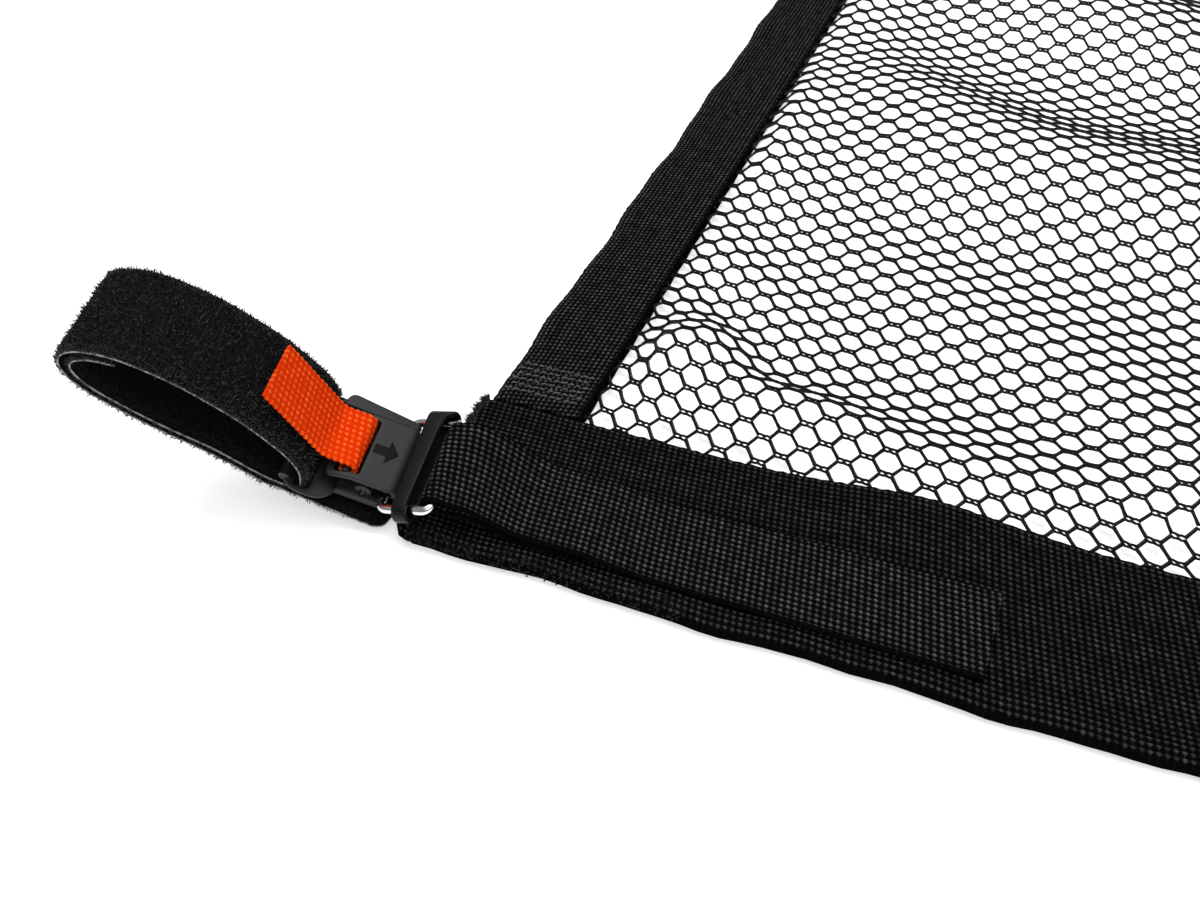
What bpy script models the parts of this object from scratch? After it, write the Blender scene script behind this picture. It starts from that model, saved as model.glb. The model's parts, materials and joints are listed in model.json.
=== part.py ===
"""Webbing-bound mesh net panel with four quick-release strap latches.

The panel lies flat: X runs along its two wide border tapes, Y along its two
narrow ones, Z is up, and the origin is under the middle of the panel at the
surface that it lies on.  Each corner carries the same latch set, drawn flat: u
points outward, v across, w up, with w = 0 at the wire of the ring.  Ring and
latch then turn, lean and tip about the bar that joins them, as they lie.
Everything is in metres.
"""
import math

import bmesh
import bpy
import numpy as np
from mathutils import Matrix, Vector

# Fits
GAP = 0.0003                    # clearance between neighbouring pieces
RUN = 0.0004                    # clearance beside and below a moving piece

# Panel
PANEL_LENGTH = 0.600            # outside size along X
PANEL_WIDTH = 0.500             # outside size along Y
LONG_TAPE_WIDTH = 0.052         # border tapes along X
SIDE_TAPE_WIDTH = 0.027         # border tapes along Y
TAPE_THICK = 0.0016
TAPE_CORNER = 0.003
NET_THICK = 0.0008
NET_INSET = 0.008               # net edge, in from the panel's outside
NET_COLUMNS = 16                # hexagonal gaps along X
NET_STRAND = 0.0024
FOLD_HEIGHT = 0.014             # how far the slack net lifts in its folds
FOLD_PITCH_X = 0.150
FOLD_PITCH_Y = 0.115
FOLD_RAMP = 0.038               # distance over which a fold dies out at the border

# How ring and latch lie
LATCH_LINE = 0.0185             # centre of the anchor strap, in from the panel's long edge
BAR_OUT = 0.0046                # ring's outer bar, beyond the panel's end
BAR_ASIDE = 0.0047              # and nearer the long edge than the strap is
LATCH_ROLL = math.radians(11)   # the inner side of each latch lies higher
LATCH_TURN = math.radians(7.3)  # and the outer end is turned away from the panel
LATCH_RISE = math.radians(20)   # outer end of the latch, tipped up
RING_DIP = math.radians(12)     # outer bar of the ring, tipped down

# Anchor strap, sewn along the border and looped round the ring
STRAP_WIDTH = 0.025
ANCHOR_THICK = 0.0016
ANCHOR_RUN = 0.138              # length on the border, from the panel's end
ANCHOR_TUCK = 0.046             # where the returned end lies under it
ANCHOR_LAND = 0.032             # where it comes down on the border
NECK_WIDTH = 0.022              # drawn together where it passes the ring

# Ring and keeper collar
WIRE_RADIUS = 0.0015
RING_SETBACK = 0.0083           # anchor-side bar, in from the corner frame's origin
RING_LENGTH = 0.0139            # between the centres of the two long bars
RING_PLAY = 0.0006              # beside the strap, each side
COLLAR_LENGTH = 0.0038
COLLAR_WALL = 0.0012

# Latch base
RAIL_THICK = 0.0015
RAIL_TOP = 0.0032
RAIL_LENGTH = 0.0190
FORK_LIP = 0.0024               # how far the forks reach past the ring bar
WING_TOP = 0.0029               # flat wing along the inner side
WING_THICK = 0.0012
WING_FRONT = 0.0080
WING_FRONT_HALF = 0.0119
WING_REAR_HALF = 0.0146
PLATE_THICK = 0.0014
PLATE_TOP = -0.0026
PLATE_FRONT = 0.0070
PLATE_FRONT_HALF = 0.0113
EAR_HALF = 0.0150
EAR_CORNER = 0.0042
EAR_START = 0.0215
SLOT_LENGTH = 0.0034
SLOT_PLAY = 0.0005              # beside the strap in the slot
EAR_BAR = 0.0052
EAR_BAR_RADIUS = 0.0015

# Lever, its pin and the bar that the pull tab folds round
LEVER_HALF = 0.0091
LEVER_TOP = 0.0040
LEVER_PLATE = 0.0016
LEVER_NOSE = 0.0014             # thickness of the nose in front of the ring bar
NOSE_DROP = 0.0006              # nose tip, below the ring bar's centre
LEVER_REAR = 0.0210
PIN_SETBACK = 0.0049            # pin, outward from the ring bar
PIN_RADIUS = 0.0011
BOSS_WALL = 0.0007
BAR_SETBACK = 0.0053            # tab bar, outward from the pin
BAR_DROP = 0.0010               # tab bar, below the lever's top
BAR_RADIUS = 0.0011
WINDOW_SIDE = 0.0006            # lever window, beside the tab

# Pull tab
TAB_WIDTH = 0.0146
TAB_THICK = 0.0012
TAB_FLAT = 0.0042               # stretch that lies along the lever
TAB_BEND = 0.0042               # radius of its upward bend
TAB_RISE = math.radians(48)
TAB_FREE = 0.0205               # straight stretch above the bend

# Hook-and-loop strap
LOOP_THICK = 0.0022
LAYER_GAP = 0.0005              # between the two overlapped layers
TAIL_START = 0.0025             # outer end, under the base
LOOP_REACH = 0.0825             # outermost point of the bend
LOOP_BEND_RISE = 0.0135         # height of that point
LOOP_TOP_REACH = 0.0660         # highest point
LOOP_TOP_RISE = 0.0229
OVERLAP_REACH = 0.0690          # inner end, on the upper run
LOOP_STEPS = 44                 # points along the free outer layer

# Derived places
LONG_HALF, SIDE_HALF = PANEL_LENGTH / 2, PANEL_WIDTH / 2
NET_Z = TAPE_THICK + GAP
UPPER_Z = NET_Z + NET_THICK + GAP
BORDER_TOP = UPPER_Z + TAPE_THICK
RING_IN = -RING_SETBACK
RING_OUT = RING_IN + RING_LENGTH
RING_CORNER = RING_PLAY + WIRE_RADIUS                  # bars stay straight across the strap
RING_HALF = NECK_WIDTH / 2 + RING_CORNER
RAIL_IN = LEVER_HALF + RUN
RAIL_OUT = RAIL_IN + RAIL_THICK
PLATE_BOTTOM = PLATE_TOP - PLATE_THICK
PIN_U = RING_OUT + PIN_SETBACK
BAR_U, BAR_W = PIN_U + BAR_SETBACK, LEVER_TOP - BAR_DROP
SLOT_HALF = STRAP_WIDTH / 2 + SLOT_PLAY
SLOT_U = EAR_START + (SLOT_LENGTH - LOOP_THICK) / 2 + LOOP_THICK + SLOT_PLAY
BAR_FRONT = SLOT_U + SLOT_LENGTH / 2
EAR_REAR = BAR_FRONT + EAR_BAR
INNER_W = PLATE_BOTTOM - GAP - LOOP_THICK / 2          # strap under the ear's bar
OUTER_W = INNER_W - LOOP_THICK - LAYER_GAP             # tail under that
TAIL_DROP = ((LOOP_THICK / 2 - OUTER_W) * math.cos(LATCH_RISE)
             + (RING_OUT - TAIL_START) * math.sin(LATCH_RISE))
BAR_Z = GAP + TAIL_DROP * math.cos(LATCH_ROLL) + STRAP_WIDTH / 2 * math.sin(LATCH_ROLL)   # tail on the ground
EYELET = BAR_RADIUS + GAP + TAB_THICK / 2              # tab's centre line round its bar

# Corner names, the half turn that points u outward, and the way each one leans
CORNERS = {"front_left": (-1, -1), "front_right": (1, -1),
           "back_left": (-1, 1), "back_right": (1, 1)}

for old in list(bpy.data.objects):
    bpy.data.objects.remove(old, do_unlink=True)


def collection(name):
    """A fresh collection linked to the scene."""
    made = bpy.data.collections.new(name)
    bpy.context.scene.collection.children.link(made)
    return made


PARTS = collection("mesh_net_panel")
CUTTERS = collection("cutters")


def material(name, colour, roughness, metallic=0.0):
    """Principled material in linear colour."""
    made = bpy.data.materials.new(name)
    made.use_nodes = True
    shader = made.node_tree.nodes["Principled BSDF"]
    shader.inputs["Base Color"].default_value = (*colour, 1.0)
    shader.inputs["Roughness"].default_value = roughness
    shader.inputs["Metallic"].default_value = metallic
    return made


WEBBING = material("black_webbing", (0.012, 0.012, 0.013), 0.75)
NETTING = material("black_net", (0.010, 0.010, 0.011), 0.70)
PILE = material("black_pile", (0.008, 0.009, 0.012), 0.95)
PLASTIC = material("black_moulding", (0.032, 0.034, 0.034), 0.45)
ORANGE = material("orange_webbing", (0.80, 0.045, 0.005), 0.65)
CHROME = material("chrome", (0.80, 0.80, 0.80), 0.12, 1.0)
STEEL = material("steel", (0.45, 0.45, 0.45), 0.35, 1.0)


def place(name, data, parent=None, location=(0, 0, 0), rotation=(0, 0, 0)):
    """One named piece in the parts collection."""
    made = bpy.data.objects.new(name, data)
    PARTS.objects.link(made)
    made.parent = parent
    made.location, made.rotation_euler = location, rotation
    return made


def outline(name, loops, depth, look=None):
    """Flat 2D curve: first loop outside, the rest holes, extruded to a depth."""
    data = bpy.data.curves.new(name, "CURVE")
    data.dimensions, data.fill_mode, data.extrude = "2D", "BOTH", depth / 2
    for loop in loops:
        spline = data.splines.new("POLY")
        spline.points.add(len(loop) - 1)
        spline.points.foreach_set("co", np.array([(x, y, 0, 1) for x, y in loop]).ravel())
        spline.use_cyclic_u = True
    if look:
        data.materials.append(look)
    return data


def solid(data):
    """Welded mesh of a curve, so that it can be cut and joined."""
    curve = bpy.data.objects.new("outline", data)
    CUTTERS.objects.link(curve)
    seen = curve.evaluated_get(bpy.context.evaluated_depsgraph_get())
    mesh = bpy.data.meshes.new_from_object(seen)
    bpy.data.objects.remove(curve)
    body = bmesh.new()
    body.from_mesh(mesh)
    bmesh.ops.remove_doubles(body, verts=body.verts, dist=1e-6)
    bmesh.ops.recalc_face_normals(body, faces=body.faces)
    body.to_mesh(mesh)
    body.free()
    return mesh


def rod(radius, length, centre, sides=12):
    """Mesh cylinder along v."""
    body = bmesh.new()
    bmesh.ops.create_cone(body, cap_ends=True, segments=sides, radius1=radius, radius2=radius,
                          depth=length,
                          matrix=Matrix.Translation(centre) @ Matrix.Rotation(math.pi / 2, 4, "X"))
    mesh = bpy.data.meshes.new("rod")
    body.to_mesh(mesh)
    body.free()
    return mesh


def block(low, high):
    """Mesh box between two corners."""
    body = bmesh.new()
    low, high = Vector(low), Vector(high)
    size = Matrix.Diagonal((*(high - low), 1))
    bmesh.ops.create_cube(body, size=1, matrix=Matrix.Translation((low + high) / 2) @ size)
    mesh = bpy.data.meshes.new("block")
    body.to_mesh(mesh)
    body.free()
    return mesh


def turned(mesh):
    """A profile drawn in (u, w) stands up: its depth runs across the latch."""
    mesh.transform(Matrix.Rotation(math.pi / 2, 4, "X"))
    return mesh


def combined(mesh, steps):
    """Mesh after Boolean steps, each a pair of operation and tool mesh."""
    work = bpy.data.objects.new("work", mesh)
    CUTTERS.objects.link(work)
    tools = []
    for operation, tool_mesh in steps:
        tool = bpy.data.objects.new("tool", tool_mesh)
        tool.hide_render, tool.display_type = True, "WIRE"
        CUTTERS.objects.link(tool)
        tools.append(tool)
        cut = work.modifiers.new(operation, "BOOLEAN")
        cut.operation, cut.object, cut.solver = operation, tool, "EXACT"
    seen = work.evaluated_get(bpy.context.evaluated_depsgraph_get())
    made = bpy.data.meshes.new_from_object(seen)
    for used in (work, *tools):
        bpy.data.objects.remove(used)
    made.materials.clear()
    return made


def moved(mesh, pivot, look):
    """The finished mesh with its origin on its joint, in its own colour."""
    mesh.transform(Matrix.Translation(-Vector(pivot)))
    mesh.materials.append(look)
    mesh.shade_smooth()
    mesh.set_sharp_from_angle(angle=math.radians(35))
    return mesh


def arc(centre, radius, start, end, steps):
    """Points on an arc, angles in degrees."""
    angles = np.radians(np.linspace(start, end, steps + 1))
    return [(centre[0] + radius * math.cos(a), centre[1] + radius * math.sin(a)) for a in angles]


def rounded(half_x, half_y, radius, steps=3):
    """Rectangle with round corners, centred."""
    x, y = half_x - radius, half_y - radius
    return (arc((x, y), radius, 0, 90, steps) + arc((-x, y), radius, 90, 180, steps)
            + arc((-x, -y), radius, 180, 270, steps) + arc((x, -y), radius, 270, 360, steps))


def smooth(points, steps):
    """Catmull-Rom curve through a few points, evenly spaced along its length."""
    knots = np.array([2 * np.array(points[0]) - points[1], *points,
                      2 * np.array(points[-1]) - points[-2]])
    t = np.linspace(0, 1, 24, endpoint=False)[:, None]
    fine = [0.5 * (2 * b + (c - a) * t + (2 * a - 5 * b + 4 * c - d) * t ** 2
                   + (3 * b - a - 3 * c + d) * t ** 3)
            for a, b, c, d in zip(knots, knots[1:], knots[2:], knots[3:])]
    fine = np.vstack([*fine, knots[-2]])
    along = np.r_[0, np.cumsum(np.linalg.norm(np.diff(fine, axis=0), axis=1))]
    at = np.linspace(0, along[-1], steps + 1)
    return np.c_[np.interp(at, along, fine[:, 0]), np.interp(at, along, fine[:, 1])]


def sideways(path):
    """Unit normals to the left of a path, mitred at each point."""
    step = np.diff(path, axis=0)
    step /= np.linalg.norm(step, axis=1)[:, None]
    left = np.c_[-step[:, 1], step[:, 0]]
    joint = np.vstack([left[:1], left[:-1] + left[1:], left[-1:]])
    joint /= np.linalg.norm(joint, axis=1)[:, None]
    square = np.r_[1, np.sum(joint[1:-1] * left[1:], axis=1), 1]
    return joint / np.maximum(square, 0.5)[:, None]


def band(path, thickness):
    """Closed outline of a strip of one thickness along a path."""
    side = sideways(path) * thickness / 2
    return [tuple(p) for p in np.vstack([path + side, (path - side)[::-1]])]


# Border tapes and net

def net_height(x, y, field_x, field_y):
    """Lift of the slack net: two crossed waves that die out towards the border."""
    def fade(distance):
        t = np.clip(distance / FOLD_RAMP, 0, 1)
        return t * t * (3 - 2 * t)
    along, across = x / FOLD_PITCH_X, y / FOLD_PITCH_Y
    wave = (0.5 + 0.3 * np.sin(2 * math.pi * (along + 0.35 * across))
            + 0.2 * np.sin(2 * math.pi * (across - 0.2 * along)))
    return FOLD_HEIGHT * wave * fade(field_x - abs(x)) * fade(field_y - abs(y))


def net():
    """Flat hexagonal net between the tapes, lifted into its folds."""
    window_x, window_y = LONG_HALF - SIDE_TAPE_WIDTH, SIDE_HALF - LONG_TAPE_WIDTH
    pitch = 2 * window_x / NET_COLUMNS
    row = pitch * math.sqrt(3) / 2
    rows = int(2 * window_y / row)
    hole = (pitch - NET_STRAND) / math.sqrt(3)
    loops = [rounded(LONG_HALF - NET_INSET, SIDE_HALF - NET_INSET, TAPE_CORNER, 1)]
    for j in range(rows):
        count = NET_COLUMNS - j % 2
        for i in range(count):
            centre = ((i - (count - 1) / 2) * pitch, (j - (rows - 1) / 2) * row)
            loops.append(arc(centre, hole, 30, 330, 5))
    mesh = solid(outline("mesh_net", loops, NET_THICK))
    spots = np.empty(len(mesh.vertices) * 3)
    mesh.vertices.foreach_get("co", spots)
    spots = spots.reshape(-1, 3)
    field_x = (NET_COLUMNS - 1) / 2 * pitch - pitch / 2
    field_y = (rows - 1) / 2 * row - row / 2
    spots[:, 2] += net_height(spots[:, 0], spots[:, 1], field_x, field_y)
    mesh.vertices.foreach_set("co", spots.ravel())
    mesh.materials.append(NETTING)
    place("mesh_net", mesh, location=(0, 0, NET_Z + NET_THICK / 2))


def tapes():
    """Upper and lower border tapes: two long ones, two fitted between them."""
    side_half = SIDE_HALF - LONG_TAPE_WIDTH - GAP
    long_tape = outline("long_tape", [rounded(LONG_HALF, LONG_TAPE_WIDTH / 2, TAPE_CORNER)],
                        TAPE_THICK, WEBBING)
    side_tape = outline("side_tape", [rounded(SIDE_TAPE_WIDTH / 2, side_half, GAP, 1)],
                        TAPE_THICK, WEBBING)
    for level, z in (("lower", TAPE_THICK / 2), ("upper", UPPER_Z + TAPE_THICK / 2)):
        for end, sign in (("front", -1), ("back", 1)):
            place(f"{end}_tape_{level}", long_tape,
                  location=(0, sign * (SIDE_HALF - LONG_TAPE_WIDTH / 2), z))
        for end, sign in (("left", -1), ("right", 1)):
            place(f"{end}_tape_{level}", side_tape,
                  location=(sign * (LONG_HALF - SIDE_TAPE_WIDTH / 2), 0, z))


# Corner pieces

def lying(lean, rise):
    """Ring or latch about its bar, seen from the level corner on the strap's line."""
    turns = ((-lean * LATCH_TURN, "Z"), (lean * LATCH_ROLL, "X"), (-rise, "Y"))
    spot = Matrix.Translation((BAR_OUT, -lean * BAR_ASIDE, BAR_Z))
    for angle, axis in turns:
        spot = spot @ Matrix.Rotation(angle, 4, axis)
    return spot


def anchor_strap(lean):
    """Webbing along the border that lifts and leans to the ring bar, turns round it and comes back."""
    centre = ANCHOR_THICK / 2
    bed = BORDER_TOP + GAP + centre
    over = bed + ANCHOR_THICK + RUN
    turn = WIRE_RADIUS + GAP + centre
    ease = ANCHOR_LAND - RING_SETBACK
    lift = np.linspace(0, 1, 9)
    ramp = lift * lift * (3 - 2 * lift)
    wrap = np.array(arc((RING_IN, 0), turn, 90, -90, 8))[1:-1]
    out = np.c_[-ANCHOR_LAND + ease * lift, ramp * 0]
    upper = np.vstack([(-ANCHOR_RUN, bed), (-ANCHOR_TUCK - 3 * ANCHOR_THICK, bed),
                       (-ANCHOR_TUCK - ANCHOR_THICK, over), out + (0, over)])
    lower = np.vstack([out[::-1] + (0, bed), (-ANCHOR_TUCK, bed)])
    flat = np.vstack([upper, wrap, lower])
    bent = np.vstack([upper[:3], out + (0, turn), wrap, out[::-1] - (0, turn), lower[-1:]])
    share = np.r_[0, 0, 0, ramp, np.ones(len(wrap)), ramp[::-1], 0]
    flat_side = np.vstack([sideways(upper), wrap * 0, sideways(lower)]) * centre
    bent_side = sideways(bent) * centre
    ring_place = lying(lean, -RING_DIP) @ Matrix.Translation((-RING_OUT, 0, 0))
    body = bmesh.new()
    rings = []
    for f, b, fs, bs, part in zip(flat, bent, flat_side, bent_side, share):
        spots = []
        for s, v in ((1, -1), (1, 1), (-1, 1), (-1, -1)):
            low, high = f + s * fs, b + s * bs
            high = ring_place @ Vector((high[0], v * NECK_WIDTH / 2, high[1]))
            spots.append(Vector((low[0], v * STRAP_WIDTH / 2, low[1])).lerp(high, part))
        rings.append([body.verts.new(p) for p in spots])
    for a, b in zip(rings, rings[1:]):
        for k in range(4):
            body.faces.new((a[k], a[k - 1], b[k - 1], b[k]))
    body.faces.new(rings[0])
    body.faces.new(rings[-1][::-1])
    bmesh.ops.recalc_face_normals(body, faces=body.faces)
    mesh = bpy.data.meshes.new("anchor_strap")
    body.to_mesh(mesh)
    body.free()
    mesh.materials.append(WEBBING)
    return mesh


def ring():
    """Round wire bent to a rectangle, its origin on the anchor-side bar."""
    data = bpy.data.curves.new("ring", "CURVE")
    data.dimensions, data.bevel_depth, data.bevel_resolution = "3D", WIRE_RADIUS, 2
    spots = rounded(RING_LENGTH / 2, RING_HALF, RING_CORNER, 4)
    spline = data.splines.new("POLY")
    spline.points.add(len(spots) - 1)
    spline.points.foreach_set("co", np.array([(x + RING_LENGTH / 2, y, 0, 1) for x, y in spots]).ravel())
    spline.use_cyclic_u = True
    data.materials.append(CHROME)
    return data


def collar():
    """Flat plastic band round both legs of the ring."""
    bore = WIRE_RADIUS + GAP
    reach = RING_HALF + bore
    inner = rounded(bore, reach, bore * 0.999, 4)
    outer = rounded(bore + COLLAR_WALL, reach + COLLAR_WALL, bore + COLLAR_WALL * 0.999, 4)
    return outline("keeper_collar", [outer, inner], COLLAR_LENGTH, PLASTIC)


def base(lean):
    """Moulded base: forked rails for the ring bar, floor plate, slotted ear, wing on the inner side."""
    notch = WIRE_RADIUS + GAP
    front = RING_OUT - FORK_LIP
    rear = front + RAIL_LENGTH
    root = PLATE_BOTTOM + PLATE_THICK / 3
    chamfer = FORK_LIP / 4
    rail = [(front, root), (rear, root), (rear, RAIL_TOP - chamfer), (rear - chamfer, RAIL_TOP),
            (front + chamfer, RAIL_TOP), (front, RAIL_TOP - chamfer), (front, notch)]
    rail += arc((RING_OUT, 0), notch, 90, -90, 6) + [(front, -notch)]
    bore = arc((PIN_U, 0), PIN_RADIUS + GAP, 0, 330, 11)
    flare = EAR_START - EAR_HALF / 2
    half = [(PLATE_FRONT, PLATE_FRONT_HALF), (flare, PLATE_FRONT_HALF + RAIL_THICK)]
    half += arc((EAR_START + EAR_CORNER, EAR_HALF - EAR_CORNER), EAR_CORNER, 125, 90, 2)
    half += arc((EAR_REAR - EAR_CORNER, EAR_HALF - EAR_CORNER), EAR_CORNER, 90, 0, 5)
    sheet = half[::-1] + [(u, -v) for u, v in half]
    slot = [(u + SLOT_U, v) for u, v in rounded(SLOT_LENGTH / 2, SLOT_HALF, SLOT_PLAY, 2)]
    plate = solid(outline("plate", [sheet, slot], PLATE_THICK))
    plate.transform(Matrix.Translation((0, 0, PLATE_TOP - PLATE_THICK / 2)))
    steps = []
    for sign in (1, -1):
        wall = turned(solid(outline("rail", [rail, bore], RAIL_THICK)))
        wall.transform(Matrix.Translation((0, sign * (RAIL_IN + RAIL_OUT) / 2, 0)))
        steps.append(("UNION", wall))
    tip = WING_REAR_HALF - RAIL_OUT
    wing = [(WING_FRONT, RAIL_IN + GAP), (WING_FRONT, WING_FRONT_HALF - chamfer),
            (WING_FRONT + chamfer, WING_FRONT_HALF)]
    wing += arc((rear - GAP - tip, WING_REAR_HALF - tip), tip, 80, 0, 4) + [(rear - GAP, RAIL_IN + GAP)]
    flat = solid(outline("wing", [[(u, lean * v) for u, v in wing]], WING_THICK))
    flat.transform(Matrix.Translation((0, 0, WING_TOP - WING_THICK / 2)))
    steps.append(("UNION", flat))
    bar = ((BAR_FRONT + EAR_REAR) / 2, 0, PLATE_BOTTOM + EAR_BAR_RADIUS + GAP)
    steps.append(("UNION", rod(EAR_BAR_RADIUS, 2 * SLOT_HALF, bar, 10)))
    return moved(combined(plate, steps), (RING_OUT, 0, 0), PLASTIC)


def lever():
    """Rocking lever: nose in front of the ring bar, boss on the pin, tab window."""
    nose = RING_OUT - WIRE_RADIUS - GAP
    under = LEVER_TOP - LEVER_PLATE
    boss = PIN_RADIUS + GAP + BOSS_WALL
    tail = LEVER_REAR - 2 * LEVER_PLATE
    side = [(nose - LEVER_NOSE, -NOSE_DROP), (nose, -NOSE_DROP), (nose, under), (PIN_U - boss, under)]
    side += arc((PIN_U, 0), boss, 180, 360, 8)
    side += [(PIN_U + boss, under), (tail, under), (LEVER_REAR, under - RUN / 2),
             (LEVER_REAR, under + LEVER_PLATE / 2), (tail, LEVER_TOP)]
    side += arc((nose - LEVER_NOSE / 2, LEVER_TOP - LEVER_NOSE / 2), LEVER_NOSE / 2, 90, 180, 3)
    bore = arc((PIN_U, 0), PIN_RADIUS + GAP, 0, 330, 11)
    reach = EYELET + TAB_THICK / 2 + WINDOW_SIDE
    width = TAB_WIDTH / 2 + WINDOW_SIDE
    window = block((BAR_U - reach, -width, under - LEVER_PLATE),
                   (BAR_U + reach - GAP, width, LEVER_TOP + LEVER_PLATE))
    bar = rod(BAR_RADIUS, 2 * LEVER_HALF - 2 * GAP, (BAR_U, 0, BAR_W))
    mesh = turned(solid(outline("lever", [side, bore], 2 * LEVER_HALF)))
    return moved(combined(mesh, [("DIFFERENCE", window), ("UNION", bar)]), (PIN_U, 0, 0), PLASTIC)


def pull_tab():
    """Orange webbing folded round the lever's bar, along the lever and up."""
    loop = arc((BAR_U, BAR_W), EYELET, 325, 90, 10)
    bend = (BAR_U + TAB_FLAT, BAR_W + EYELET + TAB_BEND)
    rise = arc(bend, TAB_BEND, -90, math.degrees(TAB_RISE) - 90, 5)
    end = np.array(rise[-1]) + TAB_FREE * np.array((math.cos(TAB_RISE), math.sin(TAB_RISE)))
    path = np.array(loop + rise + [tuple(end)]) - (BAR_U, BAR_W)
    return outline("pull_tab", [band(path, TAB_THICK)], TAB_WIDTH, ORANGE)


def strap_route():
    """Centre line of the hook-and-loop strap, from its outer end to its inner end."""
    bend = np.array((LOOP_REACH, LOOP_BEND_RISE))
    top = np.array((LOOP_TOP_REACH, LOOP_TOP_RISE))
    slot = np.array((SLOT_U, PLATE_TOP))
    floor = np.array((EAR_REAR + LOOP_THICK, OUTER_W))
    out, over, climb = bend - floor, top - bend, top - slot
    free = smooth([floor, floor + out * (0.11, 0.095), floor + out * (0.272, 0.222),
                   floor + out * (0.467, 0.296), floor + out * (0.605, 0.366), floor + out * (0.739, 0.458),
                   floor + out * (0.881, 0.588), floor + out * (0.977, 0.79), bend,
                   bend + over * (0.113, 0.426), bend + over * (0.32, 0.713), bend + over * (0.6, 0.915), top,
                   slot + climb * (0.743, 0.953), slot + climb * (0.536, 0.843), slot + climb * (0.376, 0.733),
                   slot + climb * (0.211, 0.561), slot + climb * (0.102, 0.416), slot + climb * (0.02, 0.227),
                   slot], LOOP_STEPS)
    corner = (BAR_FRONT, PLATE_BOTTOM)
    turn = BAR_FRONT - SLOT_U
    under = arc((corner[0], INNER_W + turn), turn, 180, 270, 4)
    inside = free + sideways(free) * (LOOP_THICK + LAYER_GAP)
    outermost = int(np.argmax(free[:, 0]))
    first = int(np.argmax(free[:, 0] > EAR_REAR + 2 * LOOP_THICK))
    last = outermost + int(np.argmax(free[outermost:, 0] < OVERLAP_REACH))
    return np.vstack([(TAIL_START, OUTER_W), free, under, (EAR_REAR, INNER_W), inside[first:last]])


def hook_loop_strap():
    """Soft strap that makes the fixing loop, its two layers pressed together."""
    route = strap_route()
    fine = np.vstack([a + (b - a) * t for a, b in zip(route, route[1:]) for t in np.linspace(0, 1, 8)])
    along = np.r_[0, np.cumsum(np.linalg.norm(np.diff(fine, axis=0), axis=1))]
    apart = np.linalg.norm(fine[:, None] - fine[None], axis=2)
    apart[abs(along[:, None] - along[None]) < 5 * LOOP_THICK] = 1
    if apart.min() < LOOP_THICK + GAP:
        raise ValueError("the strap's layers come too near each other")
    return outline("hook_loop_strap", [band(route - (RING_OUT, 0), LOOP_THICK)], STRAP_WIDTH, PILE)


def latches():
    """Place the latch set at each corner, every piece under its corner's empties."""
    stand = (math.pi / 2, 0, 0)
    ring_data, collar_data, lever_data = ring(), collar(), lever()
    pin_data = moved(rod(PIN_RADIUS, 2 * (RAIL_OUT + GAP), (0, 0, 0)), (0, 0, 0), STEEL)
    tab_data, strap_data = pull_tab(), hook_loop_strap()
    anchors = {lean: anchor_strap(lean) for lean in (1, -1)}
    bases = {lean: base(lean) for lean in (1, -1)}
    for name, (end, side) in CORNERS.items():
        lean = -end * side
        corner = (Matrix.Translation((end * LONG_HALF, side * (SIDE_HALF - LATCH_LINE), 0))
                  @ Matrix.Rotation(0 if end > 0 else math.pi, 4, "Z"))
        level, ring_line, latch_line = (bpy.data.objects.new(f"{kind}_{name}", None)
                                        for kind in ("corner", "ring_line", "latch_line"))
        for empty, spot in ((level, corner), (ring_line, corner @ lying(lean, -RING_DIP)),
                            (latch_line, corner @ lying(lean, LATCH_RISE))):
            PARTS.objects.link(empty)
            empty.matrix_world = spot
        place(f"anchor_strap_{name}", anchors[lean], level)
        place(f"ring_{name}", ring_data, ring_line, (-RING_LENGTH, 0, 0))
        place(f"keeper_collar_{name}", collar_data, ring_line, (-RING_LENGTH / 2, 0, 0), (0, math.pi / 2, 0))
        place(f"latch_base_{name}", bases[lean], latch_line)
        place(f"lever_pin_{name}", pin_data, latch_line, (PIN_SETBACK, 0, 0))
        place(f"latch_lever_{name}", lever_data, latch_line, (PIN_SETBACK, 0, 0))
        place(f"pull_tab_{name}", tab_data, latch_line, (BAR_U - RING_OUT, 0, BAR_W), stand)
        place(f"hook_loop_strap_{name}", strap_data, latch_line, (0, 0, 0), stand)


tapes()
net()
latches()
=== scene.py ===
"""Looks for the webbing-bound mesh net panel: knitted net, woven tapes and straps, wire
rings, quick-release latches, ribbon tabs and hook-and-loop straps.  Sizes in the
functions are millimetres; a piece is scaled to metres when its mesh is made.  Each
corner's pieces are drawn in its latch frame: u outward, v across, w up, from the ring's
outer bar."""

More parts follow.
